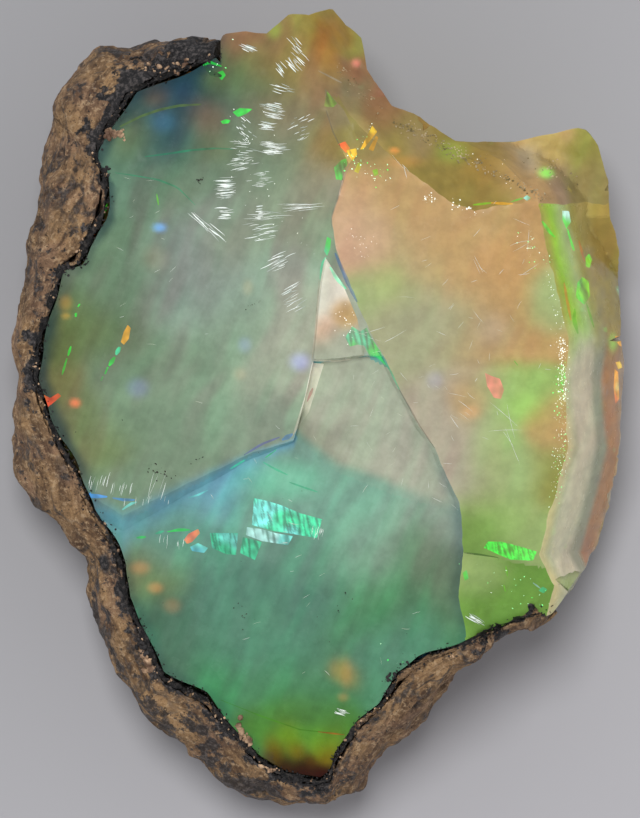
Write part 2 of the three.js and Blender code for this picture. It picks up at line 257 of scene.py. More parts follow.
def walk(path, step, closed=False):
    """Points at even steps along a line."""
    if closed:
        path = np.vstack([path, path[:1]])
    reach = np.concatenate([[0.0], np.cumsum(np.hypot(*np.diff(path, axis=0).T))])
    count = max(2, int(round(reach[-1] / step)) + 1)
    at = np.linspace(0.0, reach[-1], count)
    if closed:
        at = at[:-1]
    return np.stack([np.interp(at, reach, path[:, 0]), np.interp(at, reach, path[:, 1])], 1)


def shrunk(outline, gap):
    """A closed outline drawn in by a gap, for outlines without notches."""
    before = outline - np.roll(outline, 1, 0)
    after = np.roll(outline, -1, 0) - outline
    before /= np.hypot(*before.T)[:, None]
    after /= np.hypot(*after.T)[:, None]
    turn = 1.0 if (before[:, 0] * after[:, 1] - before[:, 1] * after[:, 0]).sum() > 0 else -1.0
    inward = np.stack([-(before + after)[:, 1], (before + after)[:, 0]], 1) * turn
    inward /= np.hypot(*inward.T)[:, None]
    slack = np.abs(inward[:, 0] * -after[:, 1] + inward[:, 1] * after[:, 0])
    return outline + inward * (gap / np.maximum(slack, 0.3))[:, None]


def softened(table, reach):
    """The same line with its corners rounded over a reach to both sides."""
    keys = np.arange(table[0, 0], table[-1, 0], 0.1)
    shifts = np.linspace(-reach, reach, 21)
    shares = 1.02 - (shifts / reach) ** 2
    values = sum(share * read(table, keys + shift) for share, shift in zip(shares, shifts)) / shares.sum()
    return np.stack([keys, values], 1)


CREASE_SOFT_Z = softened(CREASE_Z, 2.6)


def flat_points(x, y):
    return np.stack([x, y, np.zeros_like(x)], 1)


def rim_reach_table():
    """Reach of the rim against the angle, for every half degree."""
    angles = np.arange(0.0, 360.0, 0.5)
    reach = np.zeros(len(angles))
    dx, dy = np.cos(np.radians(angles)), np.sin(np.radians(angles))
    for (ax, ay), (bx, by) in zip(RIM[:-1], RIM[1:]):
        ex, ey = bx - ax, by - ay
        cross = dx * ey - dy * ex
        with np.errstate(divide="ignore", invalid="ignore"):
            far = (ax * ey - ay * ex) / cross
            share = (ax * dy - ay * dx) / cross
        hit = (far > 0) & (share >= 0) & (share <= 1)
        reach[hit] = np.maximum(reach[hit], far[hit])
    reach[reach == 0] = 99.0
    return angles, reach


RIM_ANGLES, RIM_REACH = rim_reach_table()


def angle_of(x, y):
    """Angle about the middle in degrees, from 0 at +X."""
    return np.degrees(np.arctan2(y, x)) % 360.0


def rim_reach(angle):
    """How far out the opal's edge lies at an angle."""
    return np.interp(angle, RIM_ANGLES, RIM_REACH)


def past_rim(x, y):
    """How far outside the opal's edge a point lies, on the rock's side; negative inside."""
    angle = angle_of(x, y)
    on_rock = (angle >= ROCK_ANGLES[0]) & (angle <= ROCK_ANGLES[1])
    return np.where(on_rock, np.hypot(x, y) - rim_reach(angle), FAR_INSIDE)


def wander(x, y):
    """How far the natural edges stray from their drawn lines."""
    p = flat_points(x, y)
    return 0.05 * noise(p, 1.1, 3) + 0.03 * noise(p, 0.35, 4)


def bevel_width(x):
    """The step across the left side is a narrow bevel that widens to the left."""
    return 0.08 + 0.08 * np.clip(-x - 1.0, 0.0, 8.0)


def face_height(x, y):
    """Height of the broken upper surface, with its creases, steps, scoops and ripples."""
    stray = wander(x, y)
    d = x - read(CREASE_X, y) + stray
    spike = ramp(*SPIKE_FOOT, y)
    rounded = np.sqrt(d ** 2 + (SPIKE_ROUND * spike) ** 2) - SPIKE_ROUND * spike
    left = np.where(d < 0.0, rounded, 0.0)
    right = np.where(d > 0.0, rounded, 0.0)
    hollow = SCOOP_DEPTH - SCOOP_LESS * ramp(2.0, 8.0, -y)
    below = read(STEP_Y, x) - y + stray
    step = STEP_DEPTH * np.clip(below / bevel_width(x), 0.0, 1.0) * np.exp(-np.maximum(below, 0.0) / 5.0)
    step = step * np.clip(left / STEP_AT_CREASE, 0.0, 1.0)
    tip = np.logaddexp(0.0, (TIP_Y - y) / TIP_ROUND) * TIP_ROUND
    scoop = hollow * (1.0 - np.exp(-left / SCOOP_REACH))
    fall_left = FALLS["left"] * left + scoop + step + FALLS["tip"] * tip
    beyond = np.maximum(x - read(EDGE_X, y) + EDGE_STRAY * stray, 0.0)
    corner = np.maximum(CORNER_Y - y, 0.0) * ramp(0.0, 1.5, right)
    fall_right = FALLS["right"] * right + FALLS["wall"] * beyond + WALL_BOW * beyond ** 2
    fall_right = fall_right + FALLS["corner"] * corner
    z = read(CREASE_SOFT_Z, y) - np.where(d < 0.0, fall_left, fall_right)
    soft = 0.03 + 0.87 * spike
    behind = soft * np.logaddexp(0.0, (y - read(CREST_Y, x) + CREST_STRAY * stray) / soft)
    broken = np.maximum(y - read(BREAK_Y, x), 0.0)
    shelf = SHELF_HEIGHT - 0.3 * (x - SHELF_AT[0]) - 0.22 * (y - SHELF_AT[1])
    shelf = shelf - 1.3 * np.maximum(SHELF_EDGE_Y - y, 0.0)
    z_back = z - FALLS["crest"] * behind - FALLS["break"] * broken
    z_back = np.where(x > SHELF_X, np.maximum(z_back, shelf), z_back)
    z = np.where(d > 0.0, z_back, z - FALLS["crest"] * spike * behind)
    # the sliver stands a little proud of the left face, and the wedge and tail are chipped in
    proud = np.where(inside(SLIVER, x, y) & (d < 0.0), 0.14 * left, 0.0)
    z = z + proud * np.clip(along(SLIVER, x, y, True)[0] / 0.08, 0.0, 1.0)
    for outline, depth in ((SLIVER_TAIL, 0.1), (WEDGE, 0.09)):
        within = inside(outline, x, y)
        z = z - np.where(within, depth * ramp(0.0, 0.2, along(outline, x, y, True)[0]), 0.0)
    z = z - ripples(x, y, d, below)
    outside = np.maximum(past_rim(x, y), 0.0)
    return z - 0.3 * outside


def ripples(x, y, d, below):
    """Shell-like ripples of the break, and the rough ground of the crest and the spike."""
    p = flat_points(x, y)
    strike = np.hypot(x - spot(300, -60)[0], y - spot(300, -60)[1])
    shells = np.sin(strike * 2.0 * math.pi / 1.9 + 1.2 * noise(p, 3.0, 21))
    upper = 0.018 * shells * (d < 0.0) * ramp(-6.0, 4.0, -below)
    pull = np.hypot(x - spot(60, 330)[0], y - spot(60, 330)[1])
    lower = 0.012 * np.sin(pull * 2.0 * math.pi / 2.6 + noise(p, 3.0, 22)) * (d < 0.0) * (below > 0.0)
    soft = 0.05 * noise(p, 3.4, 23) + 0.014 * noise(p, 1.2, 24)
    crags = 0.2 * rough(p, 1.3, 3, 25) + 0.05 * rough(p, 0.35, 2, 26)
    return upper + lower + soft + raggedness(x, y) * crags


def raggedness(x, y):
    """1 on the rough crest, less on the spike, 0 on the clean faces."""
    d = x - read(CREASE_X, y) + wander(x, y)
    crest = ramp(-0.4, 0.5, y - read(CREST_Y, x)) * (1.0 - ramp(*SPIKE_FOOT, y))
    fan = ramp(11.5, 14.4, y) * ramp(-6.5, -3.0, x)
    return np.where(d > 0.0, crest + 0.6 * ramp(*SPIKE_FOOT, y), 0.6 * fan)


def edge_lines():
    """The creases and edges of the upper surface, to be kept sharp."""

    def settle(draw, key):
        path = draw(key, 0.0)
        for _ in range(3):
            path = draw(key, wander(*path.T))
        return path

    def beside_crease(path, side):
        return path[side * (path[:, 0] - read(CREASE_X, path[:, 1])) > 0.05]

    tall = np.arange(-17.5, 18.0, 0.1)
    wide = np.arange(-13.5, 4.0, 0.1)
    back = np.arange(0.3, 13.5, 0.1)
    crease = settle(lambda y, s: np.stack([read(CREASE_X, y) - s, y], 1), tall)
    step = settle(lambda x, s: np.stack([x, read(STEP_Y, x) + s], 1), wide)
    foot = settle(lambda x, s: np.stack([x, read(STEP_Y, x) + s - bevel_width(x)], 1), wide)
    edge = settle(lambda y, s: np.stack([read(EDGE_X, y) - EDGE_STRAY * s, y], 1), tall)
    crest = settle(lambda x, s: np.stack([x, read(CREST_Y, x) - CREST_STRAY * s], 1), back)
    rear = np.stack([back + 2.6, read(BREAK_Y, back + 2.6)], 1)
    crease = crease[crease[:, 1] < 13.8]
    cliff = crease[crease[:, 1] < 2.3] - np.array([STEP_AT_CREASE, 0.0])
    return [
        crease, cliff, beside_crease(step, -1), beside_crease(foot, -1), edge[edge[:, 1] < 9.0],
        beside_crease(crest, 1), rear[rear[:, 0] < 10.5],
    ] + [walk(f, 0.08, True) for f in (SLIVER, SLIVER_TAIL, WEDGE, shrunk(SLIVER, 0.08))]


# Colours, as seen: red, green and blue from 0 to 255
PALETTE = {
    "deep_teal": (22, 76, 74), "slate": (56, 76, 84), "navy": (34, 58, 100), "dusk_blue": (26, 60, 90),
    "rust": (152, 96, 58), "red_clay": (150, 108, 86), "moss": (116, 124, 76), "dull_sea": (98, 126, 110),
    "sage": (106, 124, 100), "pale_sage": (122, 142, 118), "olive": (100, 114, 66), "wheat": (118, 112, 72),
    "lilac_grey": (138, 144, 144), "mist": (144, 160, 144), "sea_mist": (136, 158, 134),
    "grey_cream": (172, 177, 156), "stone_green": (142, 152, 128), "bark": (138, 126, 92),
    "ochre": (154, 136, 72), "amber": (165, 128, 62), "spike_amber": (158, 114, 50),
    "rose_brown": (152, 110, 78), "leaf_shade": (80, 124, 80), "rim_teal": (26, 54, 64),
    "blue_step": (114, 174, 190), "sea": (90, 134, 114), "kelp": (76, 108, 86), "jade": (105, 158, 136),
    "pond": (122, 164, 144), "leaf": (73, 144, 92), "fern": (78, 138, 90), "lime_shade": (80, 130, 40),
    "honey": (124, 98, 2), "blood": (50, 8, 1), "umber": (84, 42, 2), "lime_honey": (126, 142, 10),
    "cream": (220, 216, 198), "peach": (212, 173, 143), "warm_tan": (198, 162, 112), "tan": (184, 175, 128),
    "orange_tan": (194, 160, 106), "sage_tan": (173, 173, 138), "green_tan": (168, 188, 128),
    "spring": (160, 194, 110), "pear": (158, 178, 114), "putty": (183, 173, 152), "grass": (112, 152, 68),
    "brown_olive": (150, 131, 68), "straw": (194, 171, 104), "back_green": (151, 147, 74),
    "back_brown": (149, 136, 82), "wall_lime": (142, 186, 54), "wall_cream": (184, 178, 150),
    "wall_grey": (140, 142, 118), "wall_orange": (166, 122, 84), "clay_pink": (168, 142, 112),
    # the play of colour
    "green": (20, 240, 70), "lime": (120, 235, 20), "sea_green": (60, 235, 170), "cyan": (130, 250, 240),
    "pale_cyan": (200, 255, 250), "blue": (60, 150, 235), "violet": (120, 120, 230),
    "yellow": (255, 215, 40), "gold": (255, 180, 40), "orange": (255, 130, 50), "red": (255, 85, 50),
    "rose": (255, 130, 130), "vein": (132, 168, 70), "bright_cream": (240, 232, 205),
}


def to_light(shade):
    """A colour as seen, turned into amounts of light."""
    c = np.array(shade) / 255.0
    return np.where(c <= 0.04045, c / 12.92, ((c + 0.055) / 1.055) ** 2.4)


def linear(name):
    return to_light(PALETTE[name])


def nearness(gap, tightness):
    """How strongly a zone counts at a distance, which never falls quite to nothing."""
    return np.exp(-tightness * gap ** 2) + 1e-4 / (1.0 + gap ** 4)


def weighted_mix(parts, count):
    """Mix of named shades, each with its weight at every point."""
    total = np.zeros(count)
    colour = np.zeros((count, 3))
    for shade, weight in parts:
        total += weight
        colour += weight[:, None] * linear(shade)
    return colour, total[:, None]


# Soft colour zones inside the opal, by face: place in the photograph, size in its pixels, colour
ZONES = {
    "left": [
        (190, 95, 46, "deep_teal"), (145, 95, 30, "slate"), (183, 90, 13, "navy"),
        (165, 125, 15, "dusk_blue"), (158, 95, 9, "rust"), (208, 115, 12, "red_clay"),
        (125, 125, 17, "moss"), (130, 170, 38, "dull_sea"), (170, 182, 42, "sage"),
        (216, 180, 38, "pale_sage"), (212, 142, 16, "moss"), (130, 255, 40, "sage"), (80, 328, 30, "olive"),
        (62, 392, 20, "wheat"), (190, 270, 36, "lilac_grey"), (240, 270, 40, "mist"),
        (200, 330, 48, "sea_mist"), (135, 345, 36, "sage"), (286, 336, 32, "grey_cream"),
        (242, 380, 18, "grey_cream"), (230, 400, 44, "sea_mist"), (150, 430, 46, "pale_sage"),
        (92, 440, 22, "moss"), (252, 220, 30, "stone_green"), (302, 205, 26, "stone_green"),
        (322, 160, 20, "ochre"), (290, 112, 32, "bark"), (252, 140, 24, "pale_sage"),
        (276, 58, 20, "ochre"), (326, 58, 15, "amber"), (322, 32, 13, "spike_amber"),
        (300, 20, 10, "back_green"), (334, 13, 8, "back_green"), (354, 34, 10, "back_green"),
        (358, 62, 10, "rose_brown"), (352, 92, 12, "bark"), (242, 44, 15, "rose_brown"),
        (224, 74, 12, "olive"), (252, 84, 15, "leaf_shade"), (302, 84, 20, "rose_brown"),
        (375, 96, 11, "rose_brown"),
    ],
    "lower": [
        (208, 486, 24, "blue_step"), (160, 522, 26, "jade"), (205, 532, 30, "jade"), (285, 470, 36, "pond"),
        (350, 520, 42, "pond"), (160, 568, 22, "moss"), (165, 632, 30, "kelp"), (232, 602, 48, "sea"),
        (286, 622, 48, "sea"), (220, 690, 24, "leaf"), (262, 668, 30, "fern"), (304, 684, 30, "fern"),
        (349, 672, 9, "ochre"), (382, 600, 40, "fern"), (402, 642, 24, "sea"), (436, 580, 26, "sage"),
        (402, 530, 30, "mist"), (448, 530, 14, "mist"), (288, 728, 22, "lime_shade"),
        (250, 722, 13, "lime_shade"), (330, 724, 15, "lime_shade"), (326, 742, 9, "lime_honey"),
        (292, 740, 9, "lime_honey"), (272, 747, 8, "honey"), (298, 751, 7, "honey"), (330, 753, 7, "honey"),
        (270, 757, 6, "umber"), (314, 761, 6, "umber"), (280, 768, 9, "blood"), (306, 774, 10, "blood"),
        (330, 774, 8, "blood"),
    ],
    "middle": [
        (338, 398, 30, "grey_cream"), (382, 440, 36, "grey_cream"), (408, 492, 30, "grey_cream"),
        (310, 440, 20, "stone_green"),
    ],
    "right": [
        (352, 228, 20, "peach"), (362, 198, 16, "warm_tan"), (366, 160, 18, "back_brown"),
        (345, 110, 16, "back_brown"), (402, 200, 28, "warm_tan"), (402, 250, 30, "tan"),
        (370, 290, 20, "green_tan"), (450, 252, 34, "warm_tan"), (502, 262, 28, "orange_tan"),
        (430, 330, 34, "sage_tan"), (392, 352, 22, "sage_tan"), (490, 330, 28, "orange_tan"),
        (546, 300, 13, "green_tan"), (524, 408, 17, "spring"), (452, 440, 28, "putty"),
        (470, 412, 12, "orange_tan"), (510, 455, 22, "green_tan"), (490, 332, 14, "putty"),
        (548, 425, 13, "orange_tan"), (548, 480, 14, "back_green"), (502, 510, 26, "pear"),
        (482, 536, 16, "grass"),
    ],
    "corner": [
        (490, 600, 24, "grass"), (468, 572, 14, "pear"), (530, 588, 18, "grass"),
    ],
    "crest": [
        (430, 150, 24, "brown_olive"), (482, 182, 22, "brown_olive"), (398, 128, 18, "ochre"),
        (372, 140, 12, "straw"), (512, 178, 16, "warm_tan"), (542, 152, 14, "straw"),
        (478, 174, 12, "amber"), (560, 178, 11, "clay_pink"), (528, 158, 8, "putty"),
        (520, 136, 8, "orange_tan"), (566, 131, 7, "orange_tan"), (402, 112, 10, "rose_brown"),
        (418, 140, 9, "clay_pink"), (586, 146, 16, "back_green"), (600, 182, 14, "back_brown"),
    ],
    "sliver": [
        (322, 310, 12, "cream"), (334, 344, 11, "grey_cream"), (340, 316, 7, "orange_tan"),
        (326, 330, 8, "peach"),
    ],
    "tail": [
        (312, 385, 12, "cream"), (300, 425, 12, "grey_cream"),
    ],
    "wedge": [
        (330, 110, 12, "bark"), (346, 146, 9, "back_brown"), (352, 162, 7, "straw"),
    ],
}
# The wall's bands: how far out from the edge in millimetres, and colour
LOWER_BANDS = [
    (0.1, "tan"), (0.4, "sage_tan"), (0.55, "wall_cream"), (1.2, "wall_cream"), (1.45, "wall_grey"),
    (1.75, "wall_grey"), (1.95, "wall_orange"), (2.4, "wall_orange"), (2.7, "clay_pink"),
]
UPPER_BANDS = [
    (0.0, "back_green"), (0.4, "wall_lime"), (1.0, "pear"), (1.4, "back_green"), (1.8, "back_brown"),
    (2.4, "brown_olive"),
]
# Glows that seem to hang under the face: place, half width, half height, colour, strength
GLOWS = [
    (285, 480, 36, 18, "sea_green", 0.24), (355, 515, 36, 22, "sea_green", 0.05),
    (160, 228, 6, 4, "blue", 0.8), (163, 122, 12, 10, "blue", 0.12), (300, 362, 9, 8, "violet", 0.5),
    (245, 345, 6, 7, "violet", 0.22), (138, 388, 10, 9, "violet", 0.22), (434, 380, 8, 8, "violet", 0.16),
    (66, 303, 6, 7, "gold", 0.22), (66, 316, 4, 3, "gold", 0.3), (75, 403, 5, 4, "red", 0.7),
    (140, 568, 9, 6, "orange", 0.22), (155, 588, 7, 5, "orange", 0.3), (172, 606, 8, 7, "orange", 0.15),
    (346, 672, 5, 16, "orange", 0.09), (343, 697, 5, 4, "orange", 0.18), (155, 258, 12, 12, "orange", 0.06),
    (248, 288, 5, 7, "gold", 0.1), (240, 374, 6, 6, "orange", 0.09), (394, 152, 5, 3, "orange", 0.5),
    (402, 163, 18, 6, "orange", 0.14), (325, 56, 8, 14, "orange", 0.1), (356, 63, 4, 4, "rose", 0.5),
    (274, 30, 7, 9, "lime", 0.25), (470, 412, 9, 6, "orange", 0.16), (508, 262, 34, 24, "orange", 0.05),
    (524, 410, 20, 16, "lime", 0.14), (510, 440, 12, 10, "lime", 0.08), (388, 284, 16, 16, "lime", 0.07),
    (452, 152, 15, 11, "green", 0.14), (500, 520, 24, 16, "lime", 0.07), (546, 173, 7, 5, "green", 0.75),
    (614, 342, 4, 8, "green", 0.35), (150, 640, 12, 14, "sea_green", 0.05), (120, 545, 8, 14, "cyan", 0.06),
    (128, 618, 8, 10, "sea_green", 0.16), (225, 730, 16, 8, "lime", 0.08), (300, 735, 30, 10, "lime", 0.1),
]
# Crisp flashes: outline in the photograph, colour, second colour, strength, stripes per millimetre
PATCHES = [
    ([(233, 113), (240, 109), (253, 110), (246, 115), (238, 118)], "green", "green", 0.9, 0),
    ([(221, 122), (226, 120), (231, 121), (229, 124), (223, 125)], "green", "green", 0.9, 0),
    ([(130, 86), (135, 83), (139, 88), (136, 93), (131, 91)], "lime", "green", 0.7, 0),
    ([(218, 73), (223, 71), (226, 76), (222, 81), (219, 78)], "green", "green", 0.7, 0),
    ([(327, 93), (337, 105), (333, 109), (324, 108)], "lime", "vein", 0.8, 3),
    ([(338, 146), (345, 143), (350, 150), (346, 155)], "red", "orange", 1.2, 0),
    ([(346, 152), (356, 150), (357, 156), (352, 163)], "yellow", "gold", 1.1, 3),
    ([(360, 151), (372, 127), (377, 133), (371, 141), (363, 151)], "gold", "yellow", 1.0, 3),
    ([(368, 151), (376, 137), (378, 139), (373, 153)], "gold", "lime", 0.6, 0),
    ([(354, 173), (358, 164), (362, 165), (358, 175)], "yellow", "lime", 0.7, 0),
    ([(372, 172), (377, 170), (378, 176), (374, 178)], "lime", "lime", 0.6, 0),
    ([(334, 169), (341, 162), (346, 160), (347, 167), (342, 172), (343, 182), (336, 181)], "green",
     "leaf", 0.75, 4), ([(522, 199), (526, 196), (530, 199), (526, 202)], "cyan", "green", 0.8, 0),
    ([(562, 211), (569, 211), (571, 222), (566, 229), (562, 220)], "green", "pale_cyan", 0.9, 0),
    ([(586, 257), (590, 253), (593, 259), (590, 268), (586, 266)], "green", "lime", 0.85, 0),
    ([(577, 283), (582, 277), (589, 281), (590, 296), (584, 305), (575, 298)], "lime", "green", 0.8, 3),
    ([(616, 336), (621, 336), (627, 345), (624, 348), (619, 343)], "gold", "orange", 0.8, 0),
    ([(617, 362), (622, 361), (625, 367), (620, 369)], "yellow", "gold", 0.8, 0),
    ([(616, 369), (620, 372), (621, 399), (617, 404), (615, 388)], "gold", "orange", 0.8, 0),
    ([(484, 373), (490, 376), (499, 379), (503, 390), (500, 399), (493, 398), (486, 386)], "rose", "rose",
     0.75, 0),
    ([(352, 327), (360, 332), (366, 328), (372, 340), (380, 352), (386, 366), (376, 358), (369, 356),
     (364, 346), (357, 345), (350, 347), (345, 338)], "green", "sea_green", 0.7, 4),
    ([(327, 238), (331, 240), (330, 250), (327, 257), (324, 252)], "green", "sea_green", 0.75, 0),
    ([(254, 498), (268, 501), (281, 505), (300, 513), (322, 519), (317, 538), (294, 534), (274, 531),
     (252, 525)], "sea_green", "cyan", 1.15, 6.5),
    ([(247, 527), (262, 529), (276, 533), (293, 536), (288, 545), (262, 541), (246, 535)], "cyan",
     "pale_cyan", 0.95, 4),
    ([(243, 537), (262, 542), (255, 560), (240, 553)], "sea_green", "sea_green", 0.75, 5),
    ([(210, 533), (238, 533), (236, 555), (226, 554), (212, 548)], "sea_green", "cyan", 0.75, 6),
    ([(190, 547), (198, 543), (208, 548), (204, 553), (192, 551)], "cyan", "blue", 0.7, 0),
    ([(184, 540), (188, 534), (198, 529), (200, 533), (192, 542), (187, 544)], "orange", "red", 0.85, 0),
    ([(121, 342), (124, 332), (128, 325), (131, 328), (129, 339), (124, 345)], "gold", "yellow", 0.9, 0),
    ([(40, 393), (50, 398), (58, 393), (61, 396), (54, 402), (48, 407), (43, 403)], "red", "orange", 0.9,
     0),
    ([(483, 547), (487, 541), (500, 541), (520, 546), (536, 551), (532, 560), (510, 559), (498, 554)],
     "green", "green", 1.15, 7),
    ([(462, 572), (466, 569), (468, 578), (464, 580)], "sea_green", "green", 0.6, 0),
    ([(538, 590), (542, 586), (547, 589), (543, 593)], "sea_green", "green", 0.5, 0),
]
# Thin bright lines, given as glow: play of colour, and along the edges pale cream painted highlights: path in
# the photograph, width in its pixels, colour, strength
STREAKS = [
    ([(120, 127), (140, 117), (160, 110), (180, 106), (202, 105)], 3, "vein", 0.35),
    ([(145, 157), (170, 154), (190, 151), (215, 149), (234, 150)], 2.2, "sea_green", 0.22),
    ([(115, 173), (135, 176), (158, 180), (178, 188), (196, 206)], 1.6, "sea_green", 0.25),
    ([(157, 194), (159, 206)], 2, "lime", 0.6),
    ([(188, 67), (200, 65), (211, 63), (222, 67)], 3, "green", 0.65),
    ([(204, 66), (212, 74), (222, 77)], 5, "leaf", 0.2), ([(472, 206), (490, 204)], 2.6, "lime", 0.7),
    ([(490, 204), (512, 205)], 3, "gold", 0.75), ([(510, 203), (522, 199)], 2, "green", 0.6),
    ([(541, 222), (548, 232), (554, 238)], 3.6, "green", 0.6),
    ([(567, 229), (570, 239), (574, 251)], 3, "green", 0.85),
    ([(574, 309), (573, 320), (577, 334)], 4, "lime", 0.35), ([(586, 303), (594, 328)], 2.4, "lime", 0.3),
    ([(563, 283), (566, 300), (570, 321)], 3, "orange", 0.4), ([(579, 240), (585, 262)], 3, "orange", 0.3),
    ([(335, 254), (341, 268), (349, 287), (357, 303)], 4, "blue", 0.3),
    ([(330, 268), (336, 279), (346, 290)], 3.4, "sea_green", 0.85),
    ([(326, 258), (322, 264), (320, 280)], 2.2, "sea_green", 0.6),
    ([(319, 281), (317, 311), (312, 360)], 2, "bright_cream", 0.35),
    ([(313, 361), (341, 361), (352, 359)], 1.8, "bright_cream", 0.35),
    ([(350, 164), (344, 178), (336, 204), (331, 219), (332, 232)], 2.4, "bright_cream", 0.2),
    ([(378, 352), (390, 371), (399, 390)], 1.8, "sea_green", 0.4),
    ([(399, 390), (418, 424), (434, 448)], 1.5, "bright_cream", 0.1),
    ([(326, 112), (333, 134), (340, 148)], 1.5, "bright_cream", 0.1),
    ([(120, 347), (116, 355)], 6, "sea_green", 0.8), ([(115, 357), (109, 366)], 5, "green", 0.7),
    ([(108, 367), (105, 374)], 4, "green", 0.6), ([(103, 376), (101, 381)], 2, "green", 0.5),
    ([(71, 346), (68, 356)], 3.4, "green", 0.8), ([(67, 358), (62, 375)], 2.2, "green", 0.6),
    ([(76, 313), (76, 317)], 5.5, "green", 0.9), ([(78, 307), (80, 304)], 3.6, "green", 0.9),
    ([(136, 538), (146, 537)], 4, "green", 0.6), ([(155, 534), (164, 531)], 2.6, "sea_green", 0.5),
    ([(167, 532), (178, 530), (190, 530)], 3, "green", 0.6),
    ([(83, 491), (92, 496), (107, 497)], 4, "blue", 0.9),
    ([(112, 498), (124, 500), (135, 500)], 2.6, "blue", 0.6),
    ([(122, 510), (130, 504), (137, 502)], 3, "cyan", 0.6), ([(282, 440), (293, 434)], 5, "blue", 0.55),
    ([(244, 455), (262, 444), (280, 437)], 2.4, "violet", 0.35),
    ([(188, 498), (198, 495), (208, 490)], 2, "cyan", 0.55),
    ([(230, 469), (245, 460)], 2, "sea_green", 0.7), ([(265, 458), (276, 450)], 1.6, "green", 0.5),
    ([(263, 462), (275, 469), (288, 475)], 2, "sea_green", 0.5),
    ([(289, 482), (303, 487), (318, 492)], 1.8, "sea_green", 0.45),
    ([(513, 361), (517, 366)], 2.6, "green", 0.6), ([(503, 584), (505, 591)], 2, "lime", 0.6),
    ([(532, 582), (540, 588)], 1.6, "pale_cyan", 0.5), ([(505, 565), (507, 576)], 2, "lime", 0.5),
    ([(220, 700), (260, 716), (300, 730), (350, 735)], 1.3, "lime", 0.2),
    ([(318, 732), (345, 735)], 1.5, "orange", 0.3), ([(307, 402), (313, 388)], 3, "rose", 0.25),
    ([(318, 72), (334, 80), (342, 84)], 1.8, "bright_cream", 0.3),
    ([(463, 552), (480, 554), (498, 557)], 2, "leaf", 0.1),
]


def face_regions(x, y):
    """Names the face that each point is on."""
    stray = wander(x, y)
    d = x - read(CREASE_X, y) + stray
    below = read(STEP_Y, x) - y + stray
    left = d < 0.0
    region = np.full(len(x), "right", dtype="<U8")
    region[left] = "left"
    region[left & (below > 0.5 * bevel_width(x))] = "lower"
    region[left & (below > 0.0) & inside(MIDDLE, x, y)] = "middle"
    region[~left & (y < -6.5 - 0.2 * (x - 6.3))] = "corner"
    region[~left & (y > read(CREST_Y, x) - CREST_STRAY * stray)] = "crest"
    outer = ~left & (x > read(EDGE_X, y) - EDGE_STRAY * stray)
    region[outer & (y < read(CREST_Y, x) - CREST_STRAY * stray)] = "wall"
    region[~left & (y > 13.9)] = "left"
    region[inside(SLIVER, x, y)] = "sliver"
    region[inside(SLIVER_TAIL, x, y)] = "tail"
    region[inside(WEDGE, x, y)] = "wedge"
    return region


def zone_mix(name, x, y, sway_x, sway_y):
    """The soft mix of one face's colour zones."""
    parts = []
    for px, py, size, shade in ZONES[name]:
        zx, zy = spot(px, py)
        radius = size * MM_PER_PIXEL
        bend = min(1.0, radius)
        gap = np.hypot(x + bend * sway_x - zx, y + bend * sway_y - zy) / radius
        parts.append((shade, nearness(gap, 0.6)))
    colour, total = weighted_mix(parts, len(x))
    return colour / total


def zone_colours(points, region):
    """Soft colours of the opal's body at points on or under its faces."""
    x, y, _ = points.T
    sway = 1.1 * noise(points, 2.6, 41)
    sway_y = 1.1 * noise(points, 2.6, 42)
    hue = np.zeros((len(x), 3))
    for name in ZONES:
        here = region == name
        if here.any():
            hue[here] = zone_mix(name, x[here], y[here], sway[here], sway_y[here])
    # two faces fade into a neighbour instead of ending at a line
    seam = along(MIDDLE_FOOT, x, y)[0]
    for name, beyond, share in (
        ("middle", "lower", ramp(0.6, 0.0, seam + 0.2 * sway)),
        ("crest", "left", ramp(11.4, 14.0, y + 0.3 * sway) * ramp(5.0, 2.5, x)),
    ):
        here = (region == name) & (share > 0.0)
        if here.any():
            other = zone_mix(beyond, x[here], y[here], sway[here], sway_y[here])
            part = (0.9 * share[here])[:, None]
            hue[here] = hue[here] * (1.0 - part) + other * part
    hue = step_veil(x, y, region, hue)
    on_wall = region == "wall"
    hue[on_wall] = banded_wall(points[on_wall])
    # the right face is painted a shade darker against the light it catches: painted shade
    hue[region == "right"] *= 0.9
    # painted shade: the lower and middle faces are darker and bluer beside the crease
    crease_shade = np.exp(-((read(CREASE_X, y) - x) / 0.45) ** 2)
    crease_shade = crease_shade * ramp(-1.0, -3.5, y) * np.isin(region, ("lower", "middle"))
    hue *= 1.0 - (0.4 * crease_shade)[:, None] * np.array([1.0, 0.75, 0.55])
    hue = curtain_light(points, region, sway, hue)
    return np.clip(rim_shade(points, hue), 0.0, 1.0)


def curtain_light(points, region, sway, hue):
    """Curtains in the body: soft slanting bands of green light with warmer grey between them."""
    x, y, _ = points.T
    slant = np.stack([x - 0.4 * y + 0.35 * sway, 0.2 * y + 0.08 * x, np.zeros_like(x)], 1)
    bands = ramp(-0.9, 1.1, noise(slant, 0.55, 43) + 0.7 * noise(slant, 1.3, 44))
    share = np.select([region == "left", region == "lower", region == "middle"], [0.5, 0.5, 0.28], 0.24)
    share = share * (0.55 + 0.6 * ramp(-0.5, 0.5, noise(points, 4.0, 50)))
    greener = (share * (bands - 0.42))[:, None]
    hue = hue * (1.0 + greener * np.array([0.02, 0.5, 0.26]))
    blotch = share * 0.09 * rough(points, 1.6, 3, 45)
    return hue * (1.0 + blotch[:, None] * np.array([1.2, 0.9, 0.8]))


